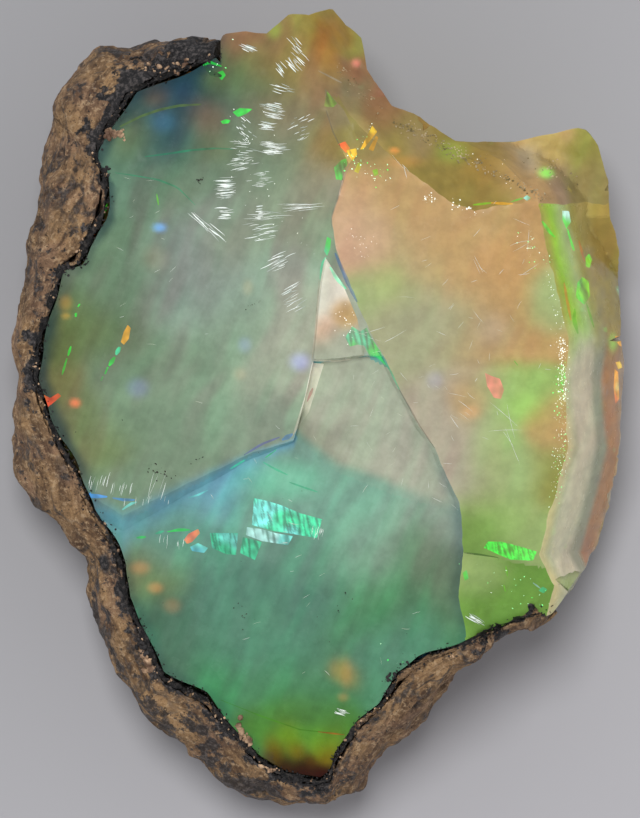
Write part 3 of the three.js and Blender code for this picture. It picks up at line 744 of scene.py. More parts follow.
def banded_wall(points):
    """The wall's upright bands, side by side outward from the edge of the right face."""
    x, y, _ = points.T
    drawn_out = np.stack([x, 0.18 * y, np.zeros_like(x)], 1)
    beyond = x - read(EDGE_X, y) + 0.16 * noise(drawn_out, 0.9, 58)
    sets = []
    for bands in (LOWER_BANDS, UPPER_BANDS):
        at = [b[0] for b in bands]
        tones = np.array([linear(b[1]) for b in bands])
        sets.append(np.stack([np.interp(beyond, at, tones[:, k]) for k in range(3)], 1))
    share = ramp(1.8, 4.2, y + 0.5 * noise(points, 1.5, 59))[:, None]
    streaks = 1.0 + 0.07 * rough(drawn_out, 0.3, 2, 60)
    # the bands are painted paler by the wall's painted light gain
    return WALL_PAINTED_LIGHT * (sets[0] * (1.0 - share) + sets[1] * share) * streaks[:, None]


def step_veil(x, y, region, hue):
    """The soft blue of the step across the left side, fading into the faces above and below it."""
    wide = np.maximum(bevel_width(x), 0.2)
    below = read(STEP_Y, x) - y + wander(x, y)
    middle = below - 0.5 * wide
    gap = np.where(below > 0.5 * wide, middle / (1.5 * wide), middle / (0.75 * wide))
    strength = np.where(x < -1.0, 0.85, 0.4) * np.exp(-gap ** 2) * np.isin(region, ("left", "lower"))
    strength = (strength * (1.0 + 0.3 * noise(flat_points(x, y), 1.0, 48)))[:, None]
    deep = ramp(-2.0, -7.0, x)[:, None]
    blue = linear("blue_step") * (1.0 - 0.3 * deep)
    return hue * (1.0 - strength) + blue * strength


def rim_shade(points, hue):
    """Darker, bluer opal where the black film shows through it, close to the rim."""
    x, y, _ = points.T
    angle = angle_of(x, y)
    depth = -past_rim(x, y) - 0.4
    strong = 0.25 + 0.5 * ramp(150.0, 165.0, angle) * ramp(205.0, 190.0, angle)
    strong += 0.4 * ramp(150.0, 140.0, angle)
    spread = 0.35 + 0.5 * strong * (1.0 + noise(points, 1.3, 49))
    share = np.clip(strong * ramp(spread, 0.0, depth), 0.0, 0.85)[:, None]
    share = share * (angle < 262.0)[:, None]
    return hue * (1.0 - share) + linear("rim_teal") * share


def glow_colours(points):
    """Light of the glows that hang under the face."""
    x, y, _ = points.T
    fire = np.zeros((len(x), 3))
    for px, py, wide, tall, shade, strength in GLOWS:
        zx, zy = spot(px, py)
        gap = ((x - zx) / (wide * MM_PER_PIXEL)) ** 2 + ((y - zy) / (tall * MM_PER_PIXEL)) ** 2
        fire += (strength * np.exp(-0.8 * gap ** 1.5))[:, None] * linear(shade)
    return fire


def patch_light(outline, first, second, strength, stripes, points, seed):
    """Light of a crisp flash: two colours in drifts, cut by fine stripes across its length."""
    x, y, _ = points.T
    centre = outline.mean(0)
    drift = ramp(-0.4, 0.6, noise(points, 0.7, seed) - 0.5 * (x - centre[0]))
    light = linear(first) * (1.0 - drift[:, None]) + linear(second) * drift[:, None]
    if stripes:
        across = np.stack([x + 0.22 * (y - centre[1]), 0.12 * y, np.zeros_like(x)], 1)
        cut = ramp(-0.55, 0.25, noise(across, 0.42 / stripes, seed + 1) + 0.25 * noise(points, 0.3, seed + 2))
        light = light * (0.3 + 0.7 * cut)[:, None]
    spread = 0.8 + 0.35 * noise(points, 0.25, seed + 3)
    return light * (strength * spread)[:, None]


def flash_shapes():
    """Every crisp flash as an outline, with the settings of its light."""
    shapes = []
    for pairs, first, second, strength, stripes in PATCHES:
        shapes.append((spots(*pairs), first, second, strength, stripes))
    for pairs, width, shade, strength in STREAKS:
        path = walk(spots(*pairs), 0.25)
        lean = np.gradient(path, axis=0)
        side = np.stack([-lean[:, 1], lean[:, 0]], 1) / np.hypot(*lean.T)[:, None]
        share = np.linspace(0.0, 1.0, len(path))
        half = 0.5 * width * MM_PER_PIXEL * (0.25 + 0.75 * np.sin(math.pi * share)) ** 0.7
        half *= 1.0 + 0.3 * noise(flat_points(*path.T), 0.3, 91)
        outline = np.vstack([path + side * half[:, None], (path - side * half[:, None])[::-1]])
        shapes.append((outline, shade, shade, strength, 0))
    return shapes


# Mesh work

def new_object(name, data):
    made = bpy.data.objects.new(name, data)
    bpy.context.scene.collection.objects.link(made)
    return made


@contextmanager
def workbench(mesh):
    """Opens a mesh for edits and puts them back at the end."""
    work = bmesh.new()
    work.from_mesh(mesh)
    yield work
    work.to_mesh(mesh)
    work.free()


def copy_of_node(node, name):
    """The construction's solid as a closed mesh in millimetres, with its doubled points joined."""
    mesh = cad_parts[node].data.copy()
    mesh.name = name
    with workbench(mesh) as work:
        bmesh.ops.remove_doubles(work, verts=work.verts, dist=1e-7)
        bmesh.ops.scale(work, vec=(1 / MM,) * 3, verts=work.verts)
    mesh.materials.clear()
    return new_object(name, mesh)


def apply_modifiers(piece):
    """Makes what the modifiers give the piece's own mesh."""
    graph = bpy.context.evaluated_depsgraph_get()
    mesh = bpy.data.meshes.new_from_object(piece.evaluated_get(graph))
    old = piece.data
    piece.modifiers.clear()
    piece.data = mesh
    bpy.data.meshes.remove(old)


def refine(piece, grain):
    """Draws a piece again as an even skin."""
    remesh = piece.modifiers.new("even skin", "REMESH")
    remesh.mode = "VOXEL"
    remesh.voxel_size = grain
    apply_modifiers(piece)


def fetch(items, name, width=1, kind=np.float32):
    """One property of all the points, corners or faces of a mesh."""
    flat = np.empty(len(items) * width, kind)
    items.foreach_get(name, flat)
    return flat if width == 1 else flat.reshape(-1, width).astype(float)


def coordinates(mesh):
    return fetch(mesh.vertices, "co", 3)


def put_coordinates(mesh, points):
    mesh.vertices.foreach_set("co", points.astype(np.float32).ravel())
    mesh.update()


def put_colour(mesh, name, values):
    layer = mesh.attributes.new(name, "FLOAT_COLOR", "CORNER")
    rgba = np.ones((len(values), 4), np.float32)
    rgba[:, :3] = values
    layer.data.foreach_set("color", rgba.ravel())


def put_value(mesh, name, values):
    layer = mesh.attributes.new(name, "FLOAT", "POINT")
    layer.data.foreach_set("value", values.astype(np.float32))


def finish_mesh(piece, kind):
    """Brings a piece to metres, smooths its shading and keeps its sharp breaks."""
    mesh = piece.data
    put_coordinates(mesh, coordinates(mesh) * MM)
    mesh.shade_smooth()
    mesh.set_sharp_from_angle(angle=math.radians(SHARP_DEGREES[kind]))


def below_face(points, share=1.0):
    """How far points lie below the upper face, read a little nearer to the middle if asked."""
    return face_height(points[:, 0] * share, points[:, 1] * share) - points[:, 2]


# The opal: drawn again over the construction's solid, much finer

def opal_wall(tree):
    """Reach of the construction's wall on each spoke, from its lowest level to the upper face."""
    angles = np.radians(np.arange(SPOKES) * 360.0 / SPOKES)
    levels = np.arange(*WALL_LEVELS)
    reach = np.full((SPOKES, len(levels)), np.nan)
    for i, a in enumerate(angles):
        out = Vector((math.cos(a), math.sin(a), 0.0))
        for j, z in enumerate(levels):
            hit = tree.ray_cast(out * WELL_OUTSIDE + Vector((0.0, 0.0, z)), -out)[0]
            if hit is not None and hit.dot(out) > 1.0:
                reach[i, j] = hit.xy.length
    x = reach * np.cos(angles)[:, None]
    y = reach * np.sin(angles)[:, None]
    known = np.isfinite(reach)
    outline = np.nanmax(reach, 1)
    roof = np.full(reach.shape, -1.0)
    roof[known] = face_height(x[known], y[known])
    reach[roof < levels[None, :] + ROOF_CLEARANCE] = np.nan
    return angles, levels, reach, outline


def wall_relief(angles, z, reach):
    """Shell-shaped breaks, flutes and a fine grain on the free wall; nothing where rock covers it."""
    p = np.stack([reach * np.cos(angles), reach * np.sin(angles), z], 1)
    degrees = np.degrees(angles)
    free = 1.0 - ramp(ROCK_ANGLES[0] - 7.0, ROCK_ANGLES[0] - 1.0, degrees)
    free = free + ramp(ROCK_ANGLES[1] + 1.0, ROCK_ANGLES[1] + 7.0, degrees)
    bent = p + 0.5 * np.stack([noise(p, 1.6, seed) for seed in (55, 56, 57)], 1)
    tall = np.array([1.0, 1.0, 0.45])
    wide_bowls = bowls(bent * tall, 4.2, 51)
    shells = 0.42 * wide_bowls + 0.14 * bowls(bent * tall, 1.6, 52) - 0.26
    waves = 0.016 * np.sin(wide_bowls * 26.0)
    grain = 0.02 * rough(p, 0.6, 2, 54)
    return np.clip(free, 0.0, 1.0) * ramp(0.0, 0.5, z) * (0.75 * shells + waves + grain)


def opal_rings(tree):
    """Rings of points down the wall, the first one on the edge of the upper face."""
    angles, levels, reach, outline = opal_wall(tree)
    rings = np.zeros((WALL_ROWS + 1, SPOKES, 3))
    for i, a in enumerate(angles):
        known = np.isfinite(reach[i])
        if not known.any():
            raise RuntimeError("no wall on a spoke")
        first = int(np.argmax(known))
        run = first
        while run + 1 < len(levels) and known[run + 1] and reach[i, run + 1] > reach[i, run] - STEEPEST:
            run += 1
        zs, rs = levels[first:run + 1], reach[i, first:run + 1]
        top_r = rs[-1] + float(wall_relief(np.array([a]), zs[-1:], rs[-1:])[0])
        covered = max(outline[i] - rs.max(), 0.0)
        if ROCK_ANGLES[0] < math.degrees(a) < ROCK_ANGLES[1]:
            shown_r = float(rim_reach(math.degrees(a))) - FILM_SHOWN
            covered = max(shown_r + 0.1 * math.sin(9.0 * a) * math.sin(23.0 * a) - top_r, 0.0)
        top_r += covered
        top_z = float(face_height(np.array([top_r * math.cos(a)]), np.array([top_r * math.sin(a)]))[0])
        z = zs[0] + (top_z - zs[0]) * (1.0 - np.linspace(0.0, 1.0, WALL_ROWS + 1)) ** 0.9
        r = np.interp(z, zs, rs)
        r += wall_relief(np.full(len(z), a), z, r)
        r += covered * ramp(2.0, 0.4, top_z - z)
        r[0] = top_r
        rings[:, i, 0] = r * math.cos(a)
        rings[:, i, 1] = r * math.sin(a)
        rings[:, i, 2] = z
    return rings


def tree_of(points):
    """A search tree over points of the plane."""
    tree = KDTree(len(points))
    for i, (x, y) in enumerate(points):
        tree.insert((x, y, 0.0), i)
    tree.balance()
    return tree


def gaps(tree, points):
    """Distance from each point to the nearest one in a tree."""
    return np.array([tree.find((x, y, 0.0))[2] for x, y in points])


def kept_lines(loop, paths, start):
    """What lies inside the rim of each line, and the edges along it."""
    fence = tree_of(loop)
    rows, edges = [], []
    for path, closed in paths:
        if len(path) < 2:
            continue
        kept = inside(loop, *path.T) & (gaps(fence, path) > LINE_CLEARANCE)
        places = np.cumsum(kept) - 1 + start
        pairs = [(i, i + 1) for i in range(len(path) - 1)]
        if closed:
            pairs.append((len(path) - 1, 0))
        edges += [(int(places[i]), int(places[j])) for i, j in pairs if kept[i] and kept[j]]
        rows.append(path[kept])
        start += int(kept.sum())
    return rows, edges


def stirred_fields(areas, taken):
    """Points in loose rows over each area, clear of the points already taken."""
    draw = np.random.default_rng(7)
    near = tree_of(np.vstack(taken))
    fields = []
    for grain, area in areas:
        low, high = area.min(0), area.max(0)
        gx, gy = np.meshgrid(np.arange(low[0], high[0], grain), np.arange(low[1], high[1], grain * ROW_STEP))
        gx[1::2] += grain / 2
        field = np.stack([gx.ravel(), gy.ravel()], 1) + draw.uniform(-STIR, STIR, (gx.size, 2)) * grain
        field = field[inside(area, *field.T)]
        fields.append(field[gaps(near, field) > 0.55 * grain])
    return fields


def face_points(loop, lines, shapes):
    """Points that the upper face is drawn through, and the edges that its triangles keep to."""
    paths = [(line, False) for line in lines] + [(walk(s[0], 0.07, True), True) for s in shapes]
    rows, edges = kept_lines(loop, paths, len(loop))
    crisp = [s[0] for s in shapes if s[4] or len(s[0]) < 14]
    areas = [(FACE_GRAIN, loop)] + [(FLASH_GRAIN, area) for area in crisp]
    fields = stirred_fields(areas, [walk(loop, 0.06, True)] + rows)
    return np.vstack([loop] + rows + fields), edges


def upper_face(rings, shapes):
    """Points and triangles of the upper face, and which of its points end the spokes."""
    loop = rings[0, :, :2]
    xy, edges = face_points(loop, edge_lines(), shapes)
    flat, _, tris, origin, _, _ = delaunay_2d_cdt(
        [Vector(p) for p in xy.tolist()], edges, [list(range(len(loop)))], 1, 1e-4, True)
    flat = np.array([tuple(v) for v in flat])
    tris = np.array([t for t in tris if len(t) == 3])
    tris = tris[inside(loop, *flat[tris].mean(1).T)]
    top = np.column_stack([flat, face_height(*flat.T)])
    place = {source: index for index, sources in enumerate(origin) for source in sources if source < SPOKES}
    ends = [place[i] for i in range(SPOKES)]
    top[ends, 2] = rings[0, :, 2]
    return top, tris, ends


def floor_rings(tree, last):
    """Rings that close the underside, on the construction's own surface."""
    rings = []
    for share in FLOOR_SHARES:
        ring = last * np.array([share, share, 1.0])
        for i, (x, y, _) in enumerate(ring):
            hit = tree.ray_cast(Vector((x, y, WELL_BELOW)), Vector((0.0, 0.0, 1.0)))[0]
            ring[i, 2] = hit.z if hit is not None else last[i, 2]
        rings.append(ring)
    return rings


def make_opal():
    """The opal as one closed mesh, and the outline of its upper face."""
    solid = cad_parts["opal_body"].data
    tree = BVHTree.FromPolygons(
        [v.co / MM for v in solid.vertices], [tuple(p.vertices) for p in solid.polygons], epsilon=0.0)
    rings = opal_rings(tree)
    shapes = flash_shapes()
    top, tris, upper = upper_face(rings, shapes)
    below = [*rings[1:], *floor_rings(tree, rings[-1])]
    middle = [[0.0, 0.0, float(below[-1][:, 2].mean())]]
    polygons = tris.tolist()
    start = len(top)
    for _ in below:
        lower = list(range(start, start + SPOKES))
        polygons += zip(upper, lower, lower[1:] + lower[:1], upper[1:] + upper[:1])
        upper = lower
        start += SPOKES
    polygons += [(a, start, b) for a, b in zip(upper, upper[1:] + upper[:1])]
    mesh = bpy.data.meshes.new("opal_chunk")
    mesh.from_pydata(np.vstack([top, *below, middle]).tolist(), [], polygons)
    with workbench(mesh) as work:
        bmesh.ops.recalc_face_normals(work, faces=work.faces)
    mesh.update()
    colour_opal(mesh, len(tris), shapes)
    mark_opal(mesh)
    piece = new_object("opal_chunk", mesh)
    finish_mesh(piece, "opal")
    return piece, rings[0, :, :2]


# The wall's colours are painted paler: painted light, standing in for the light of the upper face that the
# clear wall lets through and for the light it catches only at a slant
WALL_PAINTED_LIGHT = 1.35
WALL_SHADES = [
    (0, 3, 5, "wall_cream"), (340, 4, 4, "clay_pink"), (20, 5, 4, "wall_orange"), (355, 8, 3, "wall_cream"),
    (35, 3, 4, "back_brown"), (45, 7, 3, "wall_lime"), (60, 4, 4, "back_green"), (75, 4, 4, "brown_olive"),
    (85, 9, 4, "spike_amber"), (95, 4, 4, "amber"), (100, 9, 3, "ochre"), (330, 8, 3, "pear"),
    (12, 9, 3, "wall_grey"), (322, 3, 3, "moss"),
]


def wall_colours(points):
    """Soft colours of the free wall, from zones by angle and height."""
    angle = angle_of(points[:, 0], points[:, 1])
    swirl = 14.0 * noise(points, 3.0, 46)
    parts = []
    for at, height, size, shade in WALL_SHADES:
        turn = (angle + swirl - at + 180.0) % 360.0 - 180.0
        gap = np.hypot(turn * 0.22, points[:, 2] - height) / size
        parts.append((shade, nearness(gap, 1.2)))
    colour, total = weighted_mix(parts, len(points))
    # the wall's zones are painted paler by the same painted light gain
    return WALL_PAINTED_LIGHT * colour / total * (1.0 + 0.12 * rough(points, 1.0, 3, 47))[:, None]


def colour_opal(mesh, top_count, shapes):
    """Gives every corner of every face its body colour and its fire."""
    loops = fetch(mesh.loops, "vertex_index", kind=np.int32)
    sizes = fetch(mesh.polygons, "loop_total", kind=np.int32)
    centres = fetch(mesh.polygons, "center", 3)[:top_count, :2].T
    owner = np.repeat(np.arange(len(sizes)), sizes)
    corners = coordinates(mesh)[loops]
    is_top = owner < top_count
    body = np.zeros((len(loops), 3))
    fire = np.zeros((len(loops), 3))
    body[is_top] = zone_colours(corners[is_top], face_regions(*centres)[owner[is_top]])
    fire[is_top] = glow_colours(corners[is_top])
    body[~is_top] = wall_colours(corners[~is_top])
    # the wall takes the colour of the face above it near its upper edge
    depth = below_face(corners, 0.985)
    near = ~is_top & (depth < 1.2)
    inner = corners[near] * np.array([0.98, 0.98, 1.0])
    blend = ramp(1.2, 0.0, depth[near])[:, None]
    body[near] = body[near] * (1.0 - blend) + blend * zone_colours(inner, face_regions(*inner[:, :2].T))
    for number, (outline, *settings) in enumerate(shapes):
        within = np.zeros(len(sizes), bool)
        within[:top_count] = inside(outline, *centres)
        chosen = within[owner]
        if chosen.any():
            fire[chosen] = patch_light(outline, *settings, corners[chosen], 100 + 7 * number)
            body[chosen] = 0.5 * body[chosen]
    put_colour(mesh, "body", body)
    put_colour(mesh, "fire", fire)


def mark_opal(mesh):
    """Gives every point the values that tell the opal's material where it is."""
    points = coordinates(mesh)
    x, y, _ = points.T
    put_value(mesh, "curtains", ramp(0.3, -0.5, x - read(CREASE_X, y)))
    put_value(mesh, "ragged", raggedness(x, y))
    put_value(mesh, "free", ramp(0.0, 2.5, below_face(points, 0.97)))


def rock_relief(points, beds, past):
    """Lumps, layers, flakes, pits and grain of the rock, and where its pits are."""
    x, y, _ = points.T
    layers = noise(np.stack([x * 0.3, y * 0.3, past + 0.3 * beds], 1), 0.34, 65)
    flakes = ramp(-0.1, 0.15, noise(points * np.array([1.0, 1.0, 1.8]), 2.6, 66))
    lumps = 0.26 * rough(points, 3.0, 3, 62)
    holes = ramp(0.42, 0.8, noise(points * np.array([1.0, 1.0, 1.5]), 0.9, 63))
    holes = holes * ramp(-0.2, 0.5, noise(points, 3.5, 67))
    grain = 0.05 * rough(points, 0.4, 2, 64)
    return lumps + 0.13 * layers + 0.14 * flakes + -0.3 * holes + grain, holes


def torn_ends(points):
    """Turns the two ends of the rind about Z by uneven amounts, so that they aren't cut straight."""
    x, y, z = points.T
    angle = angle_of(x, y)
    near_end = ramp(ROCK_ANGLES[0] + END_REACH, ROCK_ANGLES[0], angle)
    near_end = near_end + ramp(ROCK_ANGLES[1] - END_REACH, ROCK_ANGLES[1], angle)
    tear = np.radians(near_end * (2.2 * rough(points, 1.2, 3, 69) + 0.1))
    turn = np.where(angle < 200.0, -tear, tear)
    return np.stack([x * np.cos(turn) - y * np.sin(turn), x * np.sin(turn) + y * np.cos(turn), z], 1)


def make_rock():
    """The rind: the construction's solid as an even skin, with its relief pushed out of it."""
    piece = copy_of_node("host_rock", "rock_rind")
    refine(piece, ROCK_GRAIN)
    mesh = piece.data
    points = coordinates(mesh)
    outward = fetch(mesh.vertices, "normal", 3)
    x, y, z = points.T.copy()
    past = past_rim(x, y)
    facing_out = ramp(0.0, 0.5, (outward[:, :2] * points[:, :2]).sum(1) / np.maximum(np.hypot(x, y), 0.1))
    upper = ramp(0.3, 0.8, outward[:, 2]) * ramp(0.1, 0.5, past)
    under = ramp(-0.4, -0.8, outward[:, 2]) * ramp(0.0, 0.3, z)
    free = np.clip(facing_out + upper + under, 0.0, 1.0)
    beds = z * 0.9 + 0.7 * rough(points, 4.0, 3, 61)
    relief, holes = rock_relief(points, beds, past)
    # the lip along the opal follows the face
    roof = face_height(x, y)
    lip = (np.abs(z - roof) < 0.45) & (outward[:, 2] > 0.5)
    points[lip, 2] = roof[lip] - 0.02 + (0.14 * ramp(0.1, 0.7, noise(points, 0.8, 68)))[lip]
    free = free * np.where(lip, 0.5 * ramp(0.6, 1.2, past), 1.0)
    points += outward * (free * relief * ramp(0.0, 0.7, z))[:, None]
    points = torn_ends(points)
    points[:, 2] = np.maximum(points[:, 2], 0.0)
    put_coordinates(mesh, points)
    angle = angle_of(points[:, 0], points[:, 1])
    far = np.maximum(past + FILM_SHOWN, 0.8 * (roof - points[:, 2]))
    put_value(mesh, "stain", read(STAIN_WIDTH, angle) - far)
    put_value(mesh, "layer", past + 0.3 * beds)
    put_value(mesh, "pit", holes)
    put_value(mesh, "blotch_and_shade", read(BLOTCHES_AND_SHADE, angle) * (0.3 + 0.7 * ramp(0.4, 1.5, past)))
    finish_mesh(piece, "rock")
    return piece


def cut_finer(mesh):
    """Cuts the film's long edges, into shorter pieces where it shows."""
    with workbench(mesh) as work:
        for _ in range(6):
            edges = list(work.edges)
            middles = np.array([tuple(e.verts[0].co.lerp(e.verts[1].co, 0.5)) for e in edges])
            limits = np.where(below_face(middles) < 0.8, FILM_GRAIN, FILM_COARSE)
            longest = [e for e, limit in zip(edges, limits) if e.calc_length() > limit]
            if not longest:
                break
            bmesh.ops.subdivide_edges(work, edges=longest, cuts=1, use_grid_fill=False)
            bmesh.ops.triangulate(work, faces=work.faces)
        work.normal_update()


def make_film():
    """The black film: the construction's thin shell, cut finer and crusted along its shown edge."""
    piece = copy_of_node("manganese_skin", "black_film")
    mesh = piece.data
    cut_finer(mesh)
    points = coordinates(mesh)
    outward = fetch(mesh.vertices, "normal", 3)
    reach = np.hypot(points[:, 0], points[:, 1])
    angle = np.clip(angle_of(points[:, 0], points[:, 1]), ROCK_ANGLES[0] + 0.5, ROCK_ANGLES[1])
    past = reach - rim_reach(angle)
    depth = below_face(points)
    # the shown edge is drawn to an even width, then swollen and crusted
    kept = 0.12 - (FILM_SHOWN + 0.05) * (1.0 - np.exp(np.minimum(past, 0.0) / 0.3))
    shift = ramp(2.0, 0.4, depth) * np.where(past > -3.0, kept - past, 0.0)
    points[:, :2] += points[:, :2] / reach[:, None] * shift[:, None]
    swell = 0.03 + 0.12 * rough(points, 0.5, 3, 71)
    points[:, :2] += outward[:, :2] * (ramp(0.9, 0.3, depth) * swell)[:, None]
    cap = (depth < 0.6) & (outward[:, 2] > 0.4)
    crust = 0.02 + 0.11 * rough(points, 0.42, 3, 72)
    points[cap, 2] = face_height(points[cap, 0], points[cap, 1]) + crust[cap]
    # nothing of the film's inner face or of its two ends shows above the opal
    angle = angle_of(points[:, 0], points[:, 1])
    hidden = np.hypot(points[:, 0], points[:, 1]) < rim_reach(angle) - FILM_SHOWN - 0.15
    hidden |= (angle < ROCK_ANGLES[0] + 1.0) | (angle > ROCK_ANGLES[1] - 0.8)
    sunk = face_height(points[hidden, 0], points[hidden, 1]) - 0.25
    points[hidden, 2] = np.minimum(points[hidden, 2], sunk)
    put_coordinates(mesh, points)
    put_value(mesh, "stain", read(STAIN_WIDTH, angle) - past - FILM_SHOWN)
    put_value(mesh, "layer", past + 0.27 * points[:, 2])
    finish_mesh(piece, "film")
    return piece


# Fine work that repeats: hackles, scratches, sparkles and crumbs

# White hackles, frosty breaks that also carry painted highlights where light glints off them: centre, spread
# across and down, how many, length, angle, thickness, all in pixels
HACKLES = [
    (274, 112, 5, 6, 13, 18, -14, 1.4), (268, 127, 4, 3, 7, 13, -10, 1.4),
    (272, 149, 8, 5, 13, 20, -3, 1.2), (243, 150, 10, 8, 11, 12, -5, 0.9), (226, 189, 4, 8, 15, 18, 1, 1.4),
    (226, 214, 3, 5, 6, 13, 2, 1.7), (260, 213, 2, 5, 6, 9, 3, 1.5), (243, 132, 5, 9, 11, 6, -40, 1.5),
    (240, 165, 9, 5, 10, 11, 8, 1.0), (262, 180, 8, 6, 11, 9, 5, 1.1), (262, 233, 12, 7, 13, 12, 10, 1.1),
    (277, 262, 9, 6, 10, 16, 24, 1.3), (291, 290, 4, 4, 3, 22, 30, 1.4), (297, 303, 5, 6, 4, 18, 28, 1.4),
    (248, 49, 3, 2, 3, 17, -24, 2.0), (298, 55, 4, 12, 8, 13, -46, 1.4), (281, 70, 3, 4, 5, 12, -50, 1.8),
    (292, 66, 2, 4, 4, 14, -48, 1.6), (284, 90, 9, 3, 6, 11, -18, 1.2), (302, 128, 7, 10, 10, 8, 25, 1.1),
    (98, 483, 10, 5, 5, 16, 78, 1.0), (122, 488, 9, 4, 4, 13, 76, 1.0), (157, 484, 9, 4, 2, 30, 76, 0.8),
    (145, 500, 22, 4, 4, 8, 80, 0.8), (200, 222, 3, 2, 3, 28, -42, 1.5), (215, 233, 3, 3, 3, 20, -40, 1.4),
    (476, 619, 5, 2, 6, 14, -30, 1.7), (172, 541, 12, 4, 4, 9, 80, 0.7), (300, 208, 14, 3, 6, 38, 6, 0.8),
    (268, 217, 12, 3, 4, 30, 3, 0.8), (340, 712, 5, 2, 4, 13, -18, 1.3), (318, 531, 5, 4, 5, 10, 76, 0.9),
]
# Faint scratches on the right face and the lower faces, in the same form
SCRATCHES = [
    (450, 290, 70, 70, 18, 10, 30, 0.45), (450, 420, 60, 70, 18, 11, -40, 0.45),
    (510, 430, 16, 16, 5, 36, -52, 0.7), (470, 270, 60, 50, 5, 20, -25, 0.45),
    (500, 340, 40, 60, 9, 11, 62, 0.45), (380, 335, 16, 5, 4, 26, -8, 0.7),
    (455, 408, 16, 14, 5, 20, -45, 0.6), (300, 470, 90, 60, 16, 9, -25, 0.45),
    (300, 600, 90, 60, 14, 8, 20, 0.4), (150, 260, 50, 70, 14, 9, 20, 0.4),
    (390, 430, 30, 60, 10, 10, 40, 0.45), (523, 244, 6, 4, 3, 24, 28, 0.6),
    (525, 272, 6, 4, 2, 22, 26, 0.6), (478, 268, 6, 3, 2, 20, -20, 0.6), (405, 168, 8, 5, 3, 22, -32, 0.7),
]


# Loose grains: line in the photograph, how many, how far they stray and how large, in pixels
BLACK_KNOBS = [
    ([(138, 640), (146, 652)], 34, 2.6, 4.2), ([(106, 168), (108, 176)], 14, 2, 3.2),
    ([(262, 775), (325, 790)], 50, 2.5, 3.2), ([(50, 268), (85, 262)], 40, 3.5, 3),
    ([(128, 60), (212, 62)], 60, 5, 3.4), ([(385, 680), (396, 672)], 14, 2, 3),
]
CREST_GRAINS = [
    ([(392, 122), (440, 147), (492, 172), (545, 200)], 260, 3, 1.6),
    ([(340, 66), (356, 88), (380, 112)], 60, 4, 1.4), ([(404, 124), (450, 145), (480, 160)], 60, 3, 1.5),
    ([(530, 160), (572, 180)], 60, 7, 1.6),
]
TAN_KNOBS = [
    ([(107, 134), (120, 136)], 34, 2.4, 4.6), ([(122, 131), (124, 141)], 14, 1, 2.4),
    ([(143, 658), (153, 670)], 30, 2.4, 4.6), ([(238, 724), (248, 745)], 30, 2.2, 4.4),
    ([(260, 768), (274, 771)], 18, 1.6, 3.8), ([(134, 70), (186, 66)], 26, 4, 4),
]
SPECKS = [
    ([(150, 466), (172, 474)], 26, 4, 1.2), ([(236, 604), (250, 625)], 14, 6, 1.1),
    ([(346, 593), (352, 597)], 5, 1, 1.3), ([(336, 604), (339, 612)], 5, 1, 1.1),
    ([(196, 186), (203, 178)], 12, 1.2, 1.2), ([(247, 307), (262, 301)], 9, 1, 0.9),
    ([(190, 462), (202, 457)], 8, 1.4, 1.0), ([(120, 500), (560, 620)], 26, 60, 0.8),
]
# Sparkles that glow: painted glints, in the same form
WHITE_SPARKS = [
    ([(545, 272), (556, 310), (560, 335)], 40, 3, 0.7), ([(560, 338), (562, 402)], 170, 3, 0.9),
    ([(560, 402), (562, 440), (553, 490)], 90, 4, 0.6), ([(425, 199), (435, 200)], 22, 3, 1.1),
    ([(452, 205), (480, 213)], 22, 3, 1.1), ([(340, 300), (346, 336)], 24, 5, 0.8),
    ([(352, 230), (368, 256)], 26, 6, 0.7), ([(90, 120), (96, 122)], 6, 4, 1.1),
    ([(205, 60), (190, 64)], 10, 4, 0.9), ([(240, 110), (300, 260)], 40, 14, 0.7),
    ([(430, 130), (520, 180)], 24, 7, 0.8), ([(148, 49), (156, 49)], 8, 3, 1.3),
]
GREEN_SPARKS = [
    ([(352, 160), (366, 176), (386, 178)], 40, 5, 0.9), ([(372, 128), (350, 158)], 14, 3, 0.9),
    ([(522, 232), (532, 258)], 24, 5, 0.8), ([(147, 43), (152, 49)], 5, 2, 1.8),
    ([(158, 46), (182, 44)], 5, 2, 1.5), ([(96, 192), (98, 195)], 6, 1.5, 1.6),
    ([(90, 216), (95, 216)], 5, 1, 1.6), ([(560, 370), (562, 400)], 60, 4, 0.8),
    ([(562, 400), (562, 470), (552, 500)], 110, 4, 0.8), ([(226, 36), (231, 38)], 6, 1.5, 1.4),
    ([(470, 560), (540, 600)], 26, 12, 0.9), ([(540, 255), (550, 262)], 12, 3, 0.9),
    ([(190, 64), (222, 66)], 16, 3, 1.2), ([(380, 640), (400, 670)], 8, 5, 0.7),
]


def guide_mesh(name, path, edges, thick, lift=0.0):
    """A bare mesh on the upper face for a node tree to grow on; each point carries a thickness."""
    mesh = bpy.data.meshes.new(name)
    mesh.from_pydata(np.column_stack([path, face_height(*path.T) + lift]).tolist(), edges, [])
    put_value(mesh, "thick", np.array(thick))
    return new_object(name, mesh)


